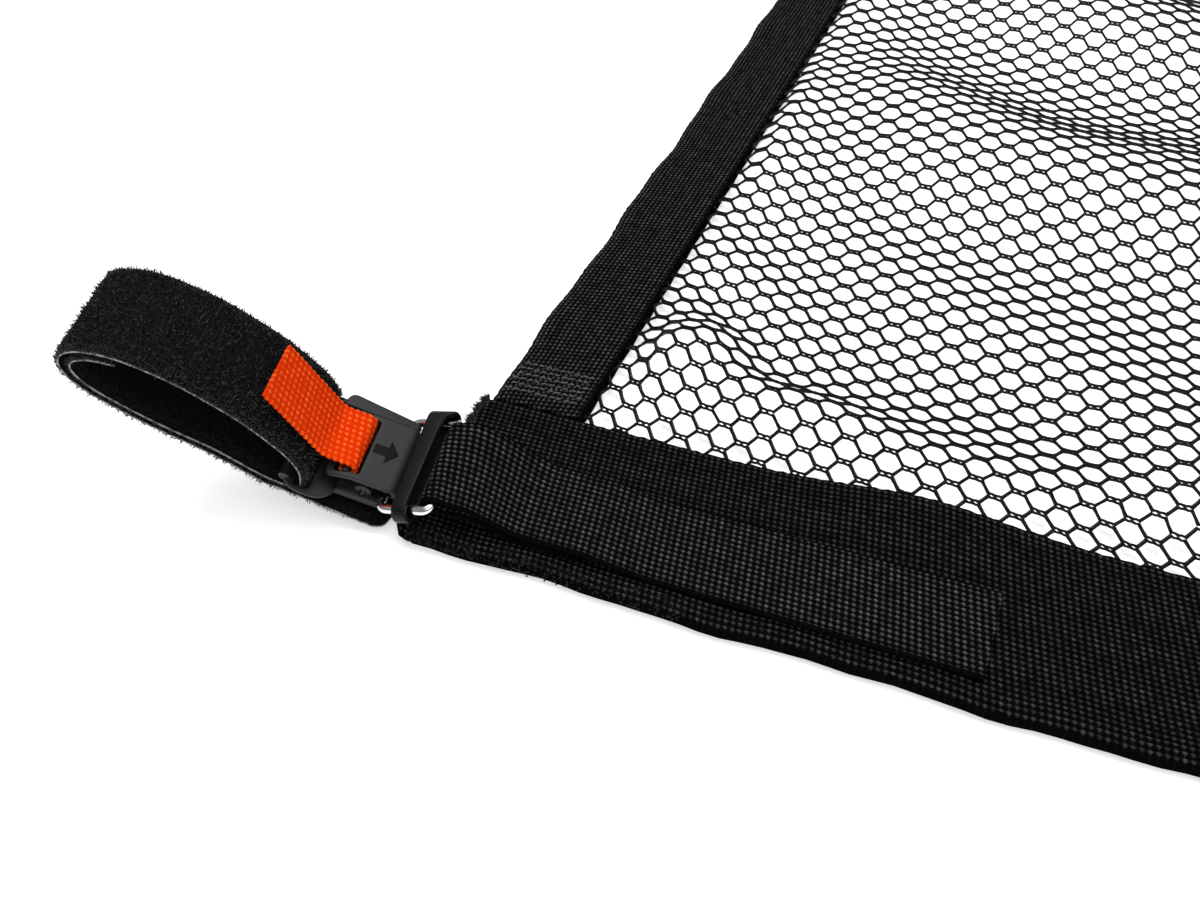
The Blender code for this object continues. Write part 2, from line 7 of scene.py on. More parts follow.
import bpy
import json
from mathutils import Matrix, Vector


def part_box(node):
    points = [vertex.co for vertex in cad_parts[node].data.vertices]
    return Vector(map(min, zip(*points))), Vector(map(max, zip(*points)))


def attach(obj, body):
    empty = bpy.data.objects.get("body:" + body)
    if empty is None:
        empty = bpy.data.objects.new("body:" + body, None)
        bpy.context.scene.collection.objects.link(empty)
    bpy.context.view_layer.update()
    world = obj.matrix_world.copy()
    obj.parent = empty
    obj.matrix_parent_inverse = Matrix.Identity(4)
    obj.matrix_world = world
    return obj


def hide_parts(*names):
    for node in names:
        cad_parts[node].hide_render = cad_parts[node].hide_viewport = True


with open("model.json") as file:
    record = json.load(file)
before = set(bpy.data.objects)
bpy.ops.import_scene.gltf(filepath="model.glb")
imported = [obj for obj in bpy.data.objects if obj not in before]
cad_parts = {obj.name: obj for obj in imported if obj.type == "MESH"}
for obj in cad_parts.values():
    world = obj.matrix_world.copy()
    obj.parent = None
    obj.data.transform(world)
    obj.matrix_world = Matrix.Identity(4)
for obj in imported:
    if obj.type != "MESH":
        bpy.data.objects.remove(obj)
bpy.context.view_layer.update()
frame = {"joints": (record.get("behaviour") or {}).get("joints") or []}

import json
import math

import bpy
import numpy as np
from bpy.props import FloatProperty, FloatVectorProperty, IntProperty, PointerProperty
from mathutils import Matrix

bl_info = {
    "name": "Webbing-bound mesh net panel",
    "version": (1, 0, 0),
    "blender": (4, 5, 0),
    "location": "View3D > Sidebar > Net panel",
    "description": "Builds the net, tapes, straps, rings and latches over the packed solids",
    "category": "Mesh",
}

MM = 0.001
CORNERS = {"front_left": (-1, -1), "front_right": (1, -1),
           "back_left": (-1, 1), "back_right": (1, 1)}
JOINTS = {joint["name"]: joint for joint in frame["joints"]}


# Colours and nodes

def linear(code):
    """sRGB hex code to linear red, green and blue."""
    value = np.array([int(code[i:i + 2], 16) for i in (1, 3, 5)]) / 255
    return tuple(np.where(value <= 0.04045, value / 12.92,
                          ((value + 0.055) / 1.055) ** 2.4).tolist())


def add(tree, kind, inputs=(), **settings):
    """One node with its settings, and its sockets set or linked."""
    node = tree.nodes.new(kind)
    for key, value in settings.items():
        setattr(node, key, value)
    for key, value in dict(inputs).items():
        if isinstance(value, bpy.types.NodeSocket):
            tree.links.new(value, node.inputs[key])
        else:
            node.inputs[key].default_value = value
    return node


def surface(name, **sockets):
    """Node material with a Principled shader, its constants on the sockets."""
    look = bpy.data.materials.new(name)
    look.use_nodes = True
    shader = look.node_tree.nodes["Principled BSDF"]
    for key, value in sockets.items():
        socket = shader.inputs[key.replace("_", " ")]
        socket.default_value = (*value, 1.0) if np.shape(value) == (3,) else value
    return look, look.node_tree, shader


def grained(name, dark, light, size, low=0.35, high=0.65, bump=None, **sockets):
    """Material of two colours mixed by noise in grains of about size millimetres, dark below the
    noise low and light above high.  A bump (strength, millimetres) raises the light grains."""
    look, tree, shader = surface(name, **sockets)
    spot = add(tree, "ShaderNodeTexCoord").outputs["Object"]
    noise = add(tree, "ShaderNodeTexNoise", {"Vector": spot, "Scale": 1 / (size * MM),
                                             "Detail": 3.0}).outputs["Fac"]
    ramp = add(tree, "ShaderNodeMapRange", {"Value": noise, "From Min": low, "From Max": high})
    mix = add(tree, "ShaderNodeMix", {"Factor": ramp.outputs["Result"], 6: (*dark, 1),
                                      7: (*light, 1)}, data_type="RGBA")
    tree.links.new(mix.outputs[2], shader.inputs["Base Color"])
    if bump:
        ridge = add(tree, "ShaderNodeBump", {"Height": noise, "Strength": bump[0],
                                             "Distance": bump[1] * MM})
        tree.links.new(ridge.outputs["Normal"], shader.inputs["Normal"])
    return look


def woven(name, colours, light, roughness, specular, depth):
    """Cloth of crowns, read from the UV in metres: cos(2 pi across / pitch) plus
    cos(2 pi (along + across / 5) / row), painted highlight where it is high and painted shade
    where it is low, with filaments about 0.25 mm wide along the strap and patches of about 3 mm
    over which the painted highlight and the gloss vary."""
    look, tree, shader = surface(name, Roughness=roughness)
    uv = add(tree, "ShaderNodeTexCoord").outputs["UV"]
    turn, waves = 2 * math.pi, []
    across, along = turn / colours.pitch, turn / colours.row
    for wave in ((0.0, across, 0.0), (along, 0.2 * along, 0.0)):
        phase = add(tree, "ShaderNodeVectorMath", {0: uv, 1: wave}, operation="DOT_PRODUCT")
        waves.append(add(tree, "ShaderNodeMath", {0: phase.outputs["Value"]}, operation="COSINE"))
    crowns = add(tree, "ShaderNodeMath", {0: waves[0].outputs[0], 1: waves[1].outputs[0]},
                 operation="ADD")
    strands = add(tree, "ShaderNodeMapping", {"Vector": uv, "Scale": (0.22, 1.0, 1.0)})
    filament = add(tree, "ShaderNodeTexNoise", {"Vector": strands.outputs["Vector"],
                                                "Scale": 2000.0, "Detail": 3.0}).outputs["Fac"]
    sheen_patches = add(tree, "ShaderNodeTexNoise", {"Vector": uv, "Scale": 330.0, "Detail": 2.0})
    sockets = ("Value", "From Min", "From Max", "To Min", "To Max")
    ranges = ((crowns.outputs[0], -0.1, 1.7, 0.0, 1.0), (filament, 0.32, 0.68, 0.35, 1.0),
              (sheen_patches.outputs["Fac"], 0.35, 0.65, 0.5, 1.3))
    crown, grain, patch = (add(tree, "ShaderNodeMapRange", zip(sockets, values)).outputs["Result"]
                           for values in ranges)
    shine = crown
    for factor in (grain, patch):
        shine = add(tree, "ShaderNodeMath", {0: shine, 1: factor}, operation="MULTIPLY").outputs[0]
    # colour: painted highlight on the crowns, painted shade in the hollows, by crown, filament and
    # patch
    mix = add(tree, "ShaderNodeMix", {"Factor": shine, 6: (*colours.dark, 1), 7: (*light, 1)},
              data_type="RGBA")
    gloss = add(tree, "ShaderNodeMath", {0: shine, 1: specular}, operation="MULTIPLY")
    height = add(tree, "ShaderNodeMath", {0: filament, 1: 0.4, 2: crown}, operation="MULTIPLY_ADD")
    bump = add(tree, "ShaderNodeBump", {"Height": height.outputs[0], "Strength": 0.7,
                                        "Distance": depth * MM})
    for output, key in ((mix.outputs[2], "Base Color"), (gloss.outputs[0], "Specular IOR Level"),
                        (bump.outputs["Normal"], "Normal")):
        tree.links.new(output, shader.inputs[key])
    return look


def webbing_look(name, colours, light):
    """Polyester webbing, woven and black-dyed: a dull grey painted highlight on the crowns,
    nearly black painted shade in the hollows.
    """
    return woven(name, colours, light, roughness=0.5, specular=0.2, depth=0.3)


def ribbon_look(colours):
    """Nylon ribbon, woven and dyed orange: a bright painted highlight on the crowns, a deeper
    painted shade between the threads.
    """
    return woven("nylon_ribbon_woven", colours, colours.light, roughness=0.6, specular=0.12,
                 depth=0.18)


def yarn_look(colours):
    """Polyester net yarn, warp-knitted and black-dyed: thin smooth strands, a soft gloss line
    along each, hardly lighter on the crowns."""
    return grained("polyester_net_yarn_knitted", colours.dark, colours.light, 1.1,
                   Roughness=0.5, Specular_IOR_Level=0.12)


def thread_look(colours):
    """Polyester sewing thread, twisted: paler than the webbing it lies on, with a soft gloss."""
    return grained("polyester_thread_twisted", colours.light, colours.thread, 0.4,
                   Roughness=0.45, Specular_IOR_Level=0.3)


def pile_look(name, dark, light):
    """Nylon hook-and-loop pile, brushed: no gloss, a black nap clotted into grains of about
    0.5 mm, each with a painted highlight on its raised crown and painted shade in the gap round it."""
    return grained(name, dark, light, 0.5, 0.33, 0.67, bump=(0.9, 0.35),
                   Roughness=0.9, Specular_IOR_Level=0.03)


def edge_look(colours):
    """Nylon ground weave at a cut edge: a thin pale line, broken where pile lies over it."""
    return grained("nylon_ground_cut", colours.edge_dark, colours.edge_light, 1.6, 0.42, 0.55,
                   Roughness=0.8, Specular_IOR_Level=0.3)


def moulding_look(name, dark, light, roughness, specular):
    """Nylon, injection-moulded in black: satin, with a fine spark-eroded grain of about 0.3 mm
    that spreads each highlight."""
    return grained(name, dark, light, 0.3, 0.3, 0.7, bump=(0.25, 0.05),
                   Roughness=roughness, Specular_IOR_Level=specular)


def metal_look(name, colour, roughness, grain):
    """Metal wire: bright chrome plate on a ring, and on the pin a dark grey painted as the shade of
    the recess under the lever; a sheen that varies a little in spots of about grain millimetres."""
    look, tree, shader = surface(name, Base_Color=colour, Metallic=1.0, Roughness=roughness)
    spot = add(tree, "ShaderNodeTexCoord").outputs["Object"]
    noise = add(tree, "ShaderNodeTexNoise", {"Vector": spot, "Scale": 1 / (grain * MM)})
    spread = add(tree, "ShaderNodeMapRange", {"Value": noise.outputs["Fac"],
                                              "To Min": 0.7 * roughness, "To Max": 1.4 * roughness})
    tree.links.new(spread.outputs["Result"], shader.inputs["Roughness"])
    return look


# Meshes from grids.  A shape is (points, quads, caps, uv): uv may be None.

def grid(rows, columns, close_rows=False, close_columns=False, first=0):
    """Quads of a grid of points, wrapped round where it is closed."""
    index = np.arange(rows * columns).reshape(rows, columns) + first
    if close_rows:
        index = np.vstack([index, index[:1]])
    if close_columns:
        index = np.hstack([index, index[:, :1]])
    quads = [index[:-1, :-1], index[:-1, 1:], index[1:, 1:], index[1:, :-1]]
    return np.stack(quads, -1).reshape(-1, 4)


def merged(shapes):
    """Several shapes as one."""
    points, quads, caps, uv, first = [], [], [], [], 0
    for spots, faces, ends, weave in shapes:
        points.append(spots)
        quads.append(faces + first)
        caps += [end + first for end in ends]
        uv.append(np.zeros((len(spots), 2)) if weave is None else weave)
        first += len(spots)
    return np.vstack(points), np.vstack(quads), caps, np.vstack(uv)


def plain(shape):
    """A shape with no weave."""
    return shape[:3] + (None,)


def placed(shape, spot):
    """A shape drawn in a frame, moved to where that frame is: points times the turn, plus the
    place."""
    points, quads, caps, uv = shape
    turn = np.array(spot)
    return points @ turn[:3, :3].T + turn[:3, 3], quads, caps, uv


def piece(name, shape, look, body, slot, stands_for=()):
    """Mesh object of a shape, in metres, riding on its body."""
    points, quads, caps, uv = shape
    mesh = bpy.data.meshes.new(name)
    corners = np.concatenate([quads.ravel(), *caps]).astype(np.int32)
    sizes = np.r_[np.full(len(quads), quads.shape[1]), [len(cap) for cap in caps]].astype(np.int32)
    mesh.vertices.add(len(points))
    mesh.vertices.foreach_set("co", (points * MM).astype(np.float32).ravel())
    mesh.loops.add(len(corners))
    mesh.loops.foreach_set("vertex_index", corners)
    mesh.polygons.add(len(sizes))
    mesh.polygons.foreach_set("loop_start", np.r_[0, np.cumsum(sizes)[:-1]].astype(np.int32))
    mesh.update(calc_edges=True)
    if uv is not None:
        layer = mesh.uv_layers.new(name="weave")
        layer.uv.foreach_set("vector", (uv[corners] * MM).astype(np.float32).ravel())
    mesh.validate()
    mesh.materials.append(look)
    mesh.shade_smooth()
    mesh.set_sharp_from_angle(angle=math.radians(50))
    made = bpy.data.objects.new(name, mesh)
    bpy.context.scene.collection.objects.link(made)
    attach(made, body)
    if stands_for:
        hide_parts(*stands_for)
    return made


def unit(vectors):
    """Vectors made one long."""
    return vectors / np.maximum(np.linalg.norm(vectors, axis=-1, keepdims=True), 1e-9)


def length_along(points):
    """Distance along a path to each of its points."""
    return np.r_[0, np.cumsum(np.linalg.norm(np.diff(points, axis=0), axis=1))]


def eased(t):
    """Smooth step from 0 to 1: three t squared minus two t cubed."""
    t = np.clip(t, 0, 1)
    return t * t * (3 - 2 * t)


def arc(centre, radius, start, end, steps):
    """Points on an arc, angles in degrees."""
    turn = np.radians(np.linspace(start, end, steps + 1))
    return np.c_[centre[0] + radius * np.cos(turn), centre[1] + radius * np.sin(turn)]


def resampled(columns, step, soften=0.0):
    """Rows of numbers along a path, whose first three (or two) columns are the place, read off
    at even steps by linear interpolation and then averaged over a short window."""
    place = columns[:, :3] if columns.shape[1] > 2 else columns
    along = length_along(place)
    count = max(int(round(along[-1] / step)), 2)
    at = np.linspace(0, along[-1], count + 1)
    rows = np.stack([np.interp(at, along, column) for column in columns.T], 1)
    reach = int(round(soften / step / 2))
    if reach:
        kernel = np.ones(2 * reach + 1) / (2 * reach + 1)
        padded = np.vstack([2 * rows[0] - rows[reach:0:-1], rows,
                            2 * rows[-1] - rows[-2:-reach - 2:-1]])
        rows = np.stack([np.convolve(column, kernel, "valid") for column in padded.T], 1)
    return rows


def sideways(path, closed=False):
    """Unit normals to the left of a flat path, mitred at each point."""
    ring = np.vstack([path[-1:], path, path[:1]]) if closed else path
    step = unit(np.diff(ring, axis=0))
    left = np.c_[-step[:, 1], step[:, 0]]
    if not closed:
        left = np.vstack([left[:1], left, left[-1:]])
    joint = unit(left[:-1] + left[1:])
    return joint / np.maximum(np.sum(joint * left[1:], axis=1), 0.5)[:, None]


def strap_section(width, thick, top, bottom, edge=4):
    """Loop of (across, up) round a strap: flat faces of top and bottom columns between half-round
    edges.  Counter-clockwise, from the lower face's left end."""
    radius = thick / 2
    flat = width / 2 - radius
    lower = np.c_[np.linspace(-flat, flat, bottom + 1), np.full(bottom + 1, -radius)]
    upper = np.c_[np.linspace(flat, -flat, top + 1), np.full(top + 1, radius)]
    right = arc((flat, 0), radius, -90, 90, edge)[1:-1]
    left = arc((-flat, 0), radius, 90, 270, edge)[1:-1]
    return np.vstack([lower, right, upper, left])


def strip(centre, across, up, section, relief=0.0, narrow=1.0, closed=False):
    """Profile carried along a path: place = centre + across * a * narrow + up * (b + relief) for
    each station and each point (a, b) of the section."""
    a, b = section.T
    narrow = np.broadcast_to(narrow, (len(centre), len(a)))
    lift = np.broadcast_to(b + relief, (len(centre), len(a)))
    points = (centre[:, None] + across[:, None] * (a * narrow)[..., None]
              + up[:, None] * lift[..., None])
    rows, columns = len(centre), len(a)
    first = np.arange(columns)
    caps = [] if closed else [first[::-1], first + (rows - 1) * columns]
    along = length_along(centre)
    weave = np.stack(np.broadcast_arrays(along[:, None], a[None]), -1).reshape(-1, 2)
    return points.reshape(-1, 3), grid(rows, columns, closed, True), caps, weave


def tube(path, radius, sides, closed=False, up=(0, 0, 1)):
    """Round wire along a path: a circle in the plane of the side vector and up."""
    step = np.roll(path, -1, 0) - np.roll(path, 1, 0)
    if not closed:
        step[0], step[-1] = path[1] - path[0], path[-1] - path[-2]
    side = unit(np.cross(np.broadcast_to(up, path.shape), step))
    rise = unit(np.cross(step, side))
    turn = np.linspace(0, 2 * np.pi, sides, endpoint=False)
    section = np.c_[np.cos(turn), np.sin(turn)]
    radius = np.reshape(radius, (-1, 1))
    return strip(path, side * radius, rise * radius, section, closed=closed)


def pillow(loop, low, high, radius, steps=4):
    """Plate with rounded rims: a closed flat outline, stacked in rings that draw in by
    radius * (1 - sin) at radius * (1 - cos) from either face."""
    turn = np.radians(np.linspace(0, 90, steps + 1))
    inset = radius * (1 - np.sin(turn))
    height = radius * (1 - np.cos(turn))
    inward = sideways(loop, True)
    inset, level = np.r_[inset, inset[::-1]], np.r_[low + height, high - height[::-1]]
    rings = loop[None] + inward[None] * inset[:, None, None]
    points = np.dstack([rings, np.broadcast_to(level[:, None], rings.shape[:2])]).reshape(-1, 3)
    first = np.arange(len(loop))
    return (points, grid(len(level), len(loop), False, True),
            [first[::-1], first + (len(level) - 1) * len(loop)], None)


def stood(shape):
    """A plate drawn in (u, w) set on edge, its thickness across: (x, y, z) to (x, -z, y)."""
    points, quads, caps, uv = shape
    return points[:, [0, 2, 1]] * (1, -1, 1), quads, caps, uv


def hoop(inner, outer, low, high, radius, across=6, steps=4):
    """Plate with a hole: a rounded section carried round between two matched outlines,
    each point at inner + (outer - inner) * share, with the rims drawn in by a quarter circle."""
    inner, outer = inner[::-1], outer[::-1]
    way = outer - inner
    span = np.linalg.norm(way, axis=1)[:, None]
    turn = np.radians(np.linspace(0, 90, steps + 1))
    rim, rise = radius * (1 - np.sin(turn)), radius * (1 - np.cos(turn))
    share = np.linspace(0, 1, across + 1)[1:-1]
    flat = lambda s: s * (span - 2 * radius) + radius
    zero = np.zeros_like(span)
    reach = np.hstack([flat(share), span - rim + zero, span - rim[::-1] + zero, flat(share[::-1]),
                       rim + zero, rim[::-1] + zero])
    level = np.r_[share * 0 + low, low + rise, high - rise[::-1], share * 0 + high, high - rise,
                  low + rise[::-1]]
    place = inner[:, None] + (way / span)[:, None] * reach[..., None]
    points = np.dstack([place, np.broadcast_to(level, reach.shape)]).reshape(-1, 3)
    return points, grid(len(inner), reach.shape[1], True, True), [], None


def box_loop(low, high, half, radius, side=10, turn=6):
    """Rectangle from u = low to high, half wide on each side, with round corners, in a fixed
    number of points so that two of them match, counter-clockwise."""
    u0, u1, v = low + radius, high - radius, half - radius
    bends = [arc((u, w), radius, start, start + 90, turn) for u, w, start in
             ((u1, v, 0), (u0, v, 90), (u0, -v, 180), (u1, -v, 270))]
    sides = [np.linspace(a[-1], b[0], side)[1:-1] for a, b in zip(bends, bends[1:] + bends[:1])]
    return np.vstack([part for pair in zip(bends, sides) for part in pair])


def dulled(uv, half, pitch):
    """The weave's place with both edges moved into a hollow, so that no crown shows on them and
    they take the hollows' painted shade.
    """
    hollow = (np.floor(half / pitch) + 0.5) * pitch
    across = np.where(abs(uv[:, 1]) > half - PLAIN_EDGE, np.sign(uv[:, 1]) * hollow, uv[:, 1])
    return np.c_[uv[:, 0], across]


def pearls(along, across, pitch, row):
    """Woven crowns: the product of two raised cosines, from 0 between threads to 1 on a crown."""
    return ((0.5 + 0.5 * np.cos(2 * np.pi * across / pitch))
            * (0.5 + 0.5 * np.cos(2 * np.pi * (along + 0.2 * across) / row)))


# Frames of each corner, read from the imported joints

def frame_at(origin, out, across):
    """Matrix with u along out, v along across and w square to both, at origin in millimetres."""
    u, v = unit(np.array(out)), unit(np.array(across))
    spot = np.eye(4)
    spot[:3] = np.stack([u, v, np.cross(u, v), np.array(origin) / MM], 1)
    return spot


def corner_frames(name):
    """Level, ring and latch frames of a corner: the joints give the bars' places and direction."""
    spot = {kind: np.array(JOINTS[f"{kind}_{name}"]["pos_m"])
            for kind in ("ring_swing", "latch_swing", "lever_tip")}
    across = JOINTS[f"lever_tip_{name}"]["axis"]
    end, side = CORNERS[name]
    heading = Matrix.Rotation(0 if end > 0 else math.pi, 4, "Z")
    level = np.array(Matrix.Translation((end * ROW_X, side * ROW_Y, 0)) @ heading)
    ring = frame_at(spot["latch_swing"], spot["latch_swing"] - spot["ring_swing"], across)
    latch = frame_at(spot["latch_swing"], spot["lever_tip"] - spot["latch_swing"], across)
    return level, ring, latch


# Sizes shared with the solids, in millimetres; u is outward, and RING_OUT is the ring's outer bar
ROW_X, ROW_Y = 300, 231.5                 # where each corner's row of parts meets the border
TAPE_THICK, TOP_FACE, PLAIN_EDGE = 1.6, 0.6, 0.9  # thickness, start of the top, rim with no crowns
TAB_WIDTH = 15.2
STRAP_WIDTH, NECK_WIDTH, WRAP_WIDTH = 25.0, 24.8, 23.2
WIRE, BORE, RING_LENGTH, RING_HALF = 1.15, 1.8, 13.9, 12.9
RING_OUT = 5.6
PLATE_TOP, PLATE_LOW = -2.6, -4.0
SLOT_U, BAR_FRONT, EAR_REAR = 24.8, 26.5, 31.7
INNER_W, OUTER_W = -5.4, -8.1
PIN_U, BAR_U, BAR_W, EYELET = 10.5, 15.8, 3.0, 2.0
LOOP_THICK, TAIL_U = 2.2, 2.5

# Slack folds of the net seen at the front left corner: x, y, half length, half width, heading in
# degrees, height, in millimetres
FOLDS = np.array([
    (-171, -42, 91, 43, 161, 22.0), (-177, 77, 80, 34, -16, 14.4), (-168, -204, 96, 25, -4, 22.0),
    (-130, -155, 21, 79, -139, 4.2), (-229, -85, 54, 23, -37, 14.3),
    (-118, -206, 153, 20, -1, -16.5), (-256, -164, 20, 13, 41, 6.7),
    (-250, 35, 145, 23, -68, 4.9), (-177, -43, 119, 33, -34, -13.8),
    (-230, -82, 55, 30, -24, -16.9), (-207, -12, 47, 23, -33, 9.1),
    (-310, 58, 152, 29, 105, 12.0), (-223, -178, 24, 9, -9, 4.3), (-200, -13, 159, 27, 25, -3.1),
    (-248, -143, 35, 9, -52, -3.4)])
COURSE = np.array((5.5589, -0.6312))      # along the yarns, one column of holes
WALE = np.array((0.64, -8.5609))          # across them, one row of holes
NET_START = np.array((-261.2322, -196.7817))
# How the folds draw the lattice aside: terms 1, p, q, p p, p q, q q of the place near the corner
DRIFT = np.array([(0.16, -3.88), (1.65, 1.02), (1.72, 6.93), (-1.51, 7.7), (6.5, -0.92),
                  (2.7, 15.08)])
NET_LEVEL, NET_HOLD = 2.3, 13             # height between the tapes, and the folds' run-in
FREE_X, FREE_Y = 274, 199                 # half size of the part that isn't held
NET_X, NET_Y = 284, 209                   # half size of the net, with what the tapes cover
WAVE_HIGH, WAVE_X, WAVE_Y = 14, 150, 115  # made-up folds away from the corner
NET_PIECE_QUADS, YARN_SHARE = 85000, 0.33


def net_height(x, y):
    """Height of the net, and how much lower it is held than its folds alone: the listed folds near
    the front left corner and two crossed waves elsewhere, both dying out at the border, which
    holds the net between its tapes."""
    dx, dy = x[..., None] - FOLDS[:, 0], y[..., None] - FOLDS[:, 1]
    turn = np.radians(FOLDS[:, 4])
    along = (dx * np.cos(turn) + dy * np.sin(turn)) / FOLDS[:, 2]
    aside = (dy * np.cos(turn) - dx * np.sin(turn)) / FOLDS[:, 3]
    seen = 1.0 + np.sum(FOLDS[:, 5] * np.exp(-along ** 2 - aside ** 2), -1)
    wave = WAVE_HIGH * (0.5 + 0.3 * np.sin(2 * np.pi * (x / WAVE_X + 0.35 * y / WAVE_Y))
                        + 0.2 * np.sin(2 * np.pi * (y / WAVE_Y - 0.2 * x / WAVE_X)))
    near = eased((-70 - x) / 55) * eased((150 - y) / 50)     # 1 in the corner that is seen
    lift = np.maximum(wave * (1 - near) + seen * near, 0.3)
    room = eased(np.minimum(FREE_X - abs(x), FREE_Y - abs(y)) / NET_HOLD)
    held = 0.9 * border_lift(x, y) * (y < 0)
    height = NET_LEVEL + lift * room + held * (1 - room)
    return height, NET_LEVEL + lift - height


def border_lift(x, y):
    """How far the front tape's inner edge stands up where the net pulls it: a bump along x that
    grows towards the edge."""
    high, middle, spread, hinge, reach = 4.0, -183, 24, -232, 34
    return high * np.exp(-((x - middle) / spread) ** 2) * eased((y - hinge) / reach)


def net_yarns(look):
    """One tube for each yarn.  In lattice numbers s along the yarns and t across, a yarn runs
    beside its neighbour at each link, then slants to the next: t = m/2 + gap + (1/2 - 2 gap) *
    ramp(s).  In a link the pair closes in the middle and in thick knots at both ends, and opens
    into a small hole between.  Where the border holds the front left folds down, the slack slides
    inward by about as much."""
    share, hole = look.link_share, 0.55 * look.link_share
    s = (np.arange(-20, 125)[:, None] + (0.0, hole, share, 0.5, 1 - share, 1 - hole)).ravel()
    stops = (0, hole, share, 0.5)     # a link's middle, its hole, its knot, and between two links
    inner = 0.5 - abs(s % 1 - 0.5)
    gap = np.interp(inner, stops, (0.78, 1.3, 0.85, 0.85)) * look.pair_gap / MM / 2
    gap = gap / np.linalg.norm(WALE)
    radius = np.interp(inner, stops, (1.05, 0.82, 1.25, 1.0)) * look.yarn_width / MM / 2
    shapes = []
    for m in range(-112, 28):
        phase = abs((s - m) % 2 - 1)
        ramp = np.clip((phase - share) / (1 - 2 * share), 0, 1)
        t = m / 2 + gap + (0.5 - 2 * gap) * ramp
        flat = NET_START + s[:, None] * COURSE + t[:, None] * WALE
        p, q = (np.clip((flat + (190, 30)) / (90, 180), -1.1, 1.1)).T
        moved = flat + np.stack([p * 0 + 1, p, q, p * p, p * q, q * q], 1) @ DRIFT
        z, lost = net_height(*flat.T)
        corner = eased((-120 - flat[:, 1]) / 30) * eased((-90 - flat[:, 0]) / 50)
        moved += (np.minimum(lost, 7.5) * corner)[:, None] * (-0.13, 1.04)
        inside = (abs(moved[:, 0]) < NET_X) & (abs(moved[:, 1]) < NET_Y)
        if inside.sum() < 8:
            continue
        path = np.c_[moved, z + 0.12 * np.cos(np.pi * s)][inside]
        shapes.append(tube(path, radius[inside], sides=4))
    return shapes


def strap_path(route):
    """Flat path in (u, w) as centres, across and up vectors: across is v, up the left normal."""
    left = sideways(route)
    zero = np.zeros(len(route))
    return (np.c_[route[:, 0], zero, route[:, 1]], np.tile((0.0, 1.0, 0.0), (len(route), 1)),
            unit(np.c_[left[:, 0], zero, left[:, 1]]))


def loop_route():
    """Centre line of the hook-and-loop strap, from the tail under the base, round the loop, through
    the ear's slot and back along the inside."""
    bend, top, slot = np.array((82.5, 13.5)), np.array((66.0, 22.9)), np.array((SLOT_U, PLATE_TOP))
    floor = np.array((EAR_REAR + LOOP_THICK, OUTER_W))
    out, over, climb = bend - floor, top - bend, top - slot
    knots = np.vstack([
        floor, floor + out * [(0.11, 0.095), (0.272, 0.222), (0.467, 0.296), (0.605, 0.366),
                              (0.739, 0.458), (0.881, 0.588), (0.977, 0.79)], bend,
        bend + over * [(0.113, 0.426), (0.32, 0.713), (0.6, 0.915)], top,
        slot + climb * [(0.743, 0.953), (0.536, 0.843), (0.376, 0.733), (0.211, 0.561),
                        (0.102, 0.416), (0.02, 0.227)], slot])
    knots = np.vstack([2 * knots[0] - knots[1], knots, 2 * knots[-1] - knots[-2]])
    t = np.linspace(0, 1, 24, endpoint=False)[None, :, None]
    a, b, c, d = (knots[i:len(knots) - 3 + i, None] for i in range(4))
    fine = 0.5 * (2 * b + (c - a) * t + (2 * a - 5 * b + 4 * c - d) * t ** 2
                  + (3 * b - a - 3 * c + d) * t ** 3)
    free = resampled(np.vstack([fine.reshape(-1, 2), knots[-2]]), step=1.5)
    turn = BAR_FRONT - SLOT_U
    under = arc((BAR_FRONT, INNER_W + turn), turn, 180, 270, 6)
    inside = free + sideways(free) * (LOOP_THICK + 0.5)
    outermost = int(np.argmax(free[:, 0]))
    first = int(np.argmax(free[:, 0] > EAR_REAR + 2 * LOOP_THICK))
    last = outermost + int(np.argmax(free[outermost:, 0] < 69.0))
    route = np.vstack([(TAIL_U, OUTER_W), free, under, (EAR_REAR, INNER_W), inside[first:last]])
    return route - (RING_OUT, 0)


def anchor_stations(level, ring):
    """Stations of the anchor strap: each lies between its flat place on the border and its place
    round the ring's bar, low + (high - low) * share.  Nine numbers: centre, half width and up."""
    gap, centre, border_top = 0.3, TAPE_THICK / 2, 4.6
    turn, bed = WIRE + gap + centre, border_top + gap + centre
    over = bed + TAPE_THICK + 0.4
    ring_in = -RING_LENGTH + RING_OUT
    lift = np.linspace(0, 1, 25)
    ramp = eased(lift)
    wrap = arc((ring_in, 0), turn, 90, -90, 14)[1:-1]
    out = np.c_[-32 + 23.7 * lift, ramp * 0]
    upper = np.vstack([(-138, bed), (-62, bed), (-47, over), out + (0, over)])
    lower = np.vstack([out[::-1] + (0, bed), (-46, bed)])
    flat = np.vstack([upper, wrap, lower])
    bent = np.vstack([upper[:3], out + (0, turn), wrap, out[::-1] - (0, turn), lower[-1:]])
    share = np.r_[0, 0, 0, ramp, np.ones(len(wrap)), ramp[::-1], 0][:, None]
    flat_up = np.vstack([sideways(upper), wrap * 0, sideways(lower)])
    bent_up = sideways(bent)
    zero = np.zeros((len(flat), 1))

    def mixed(low, high, half_low, half_high, spot):
        low, high = (np.c_[pair[:, :1], zero + half, pair[:, 1:]] for pair, half in
                     ((low, half_low), (high - (RING_OUT * spot, 0), half_high)))
        low = low @ level[:3, :3].T + level[:3, 3] * spot
        high = high @ ring[:3, :3].T + ring[:3, 3] * spot
        return low + (high - low) * share

    half = np.full((len(flat), 1), NECK_WIDTH / 2)
    half[24:-24] = WRAP_WIDTH / 2
    return np.hstack([mixed(flat, bent, 0, 0, 1),
                      mixed(flat * 0, bent * 0, STRAP_WIDTH / 2, half, 0),
                      mixed(flat_up, bent_up, 0, 0, 0)])


# What a user may change

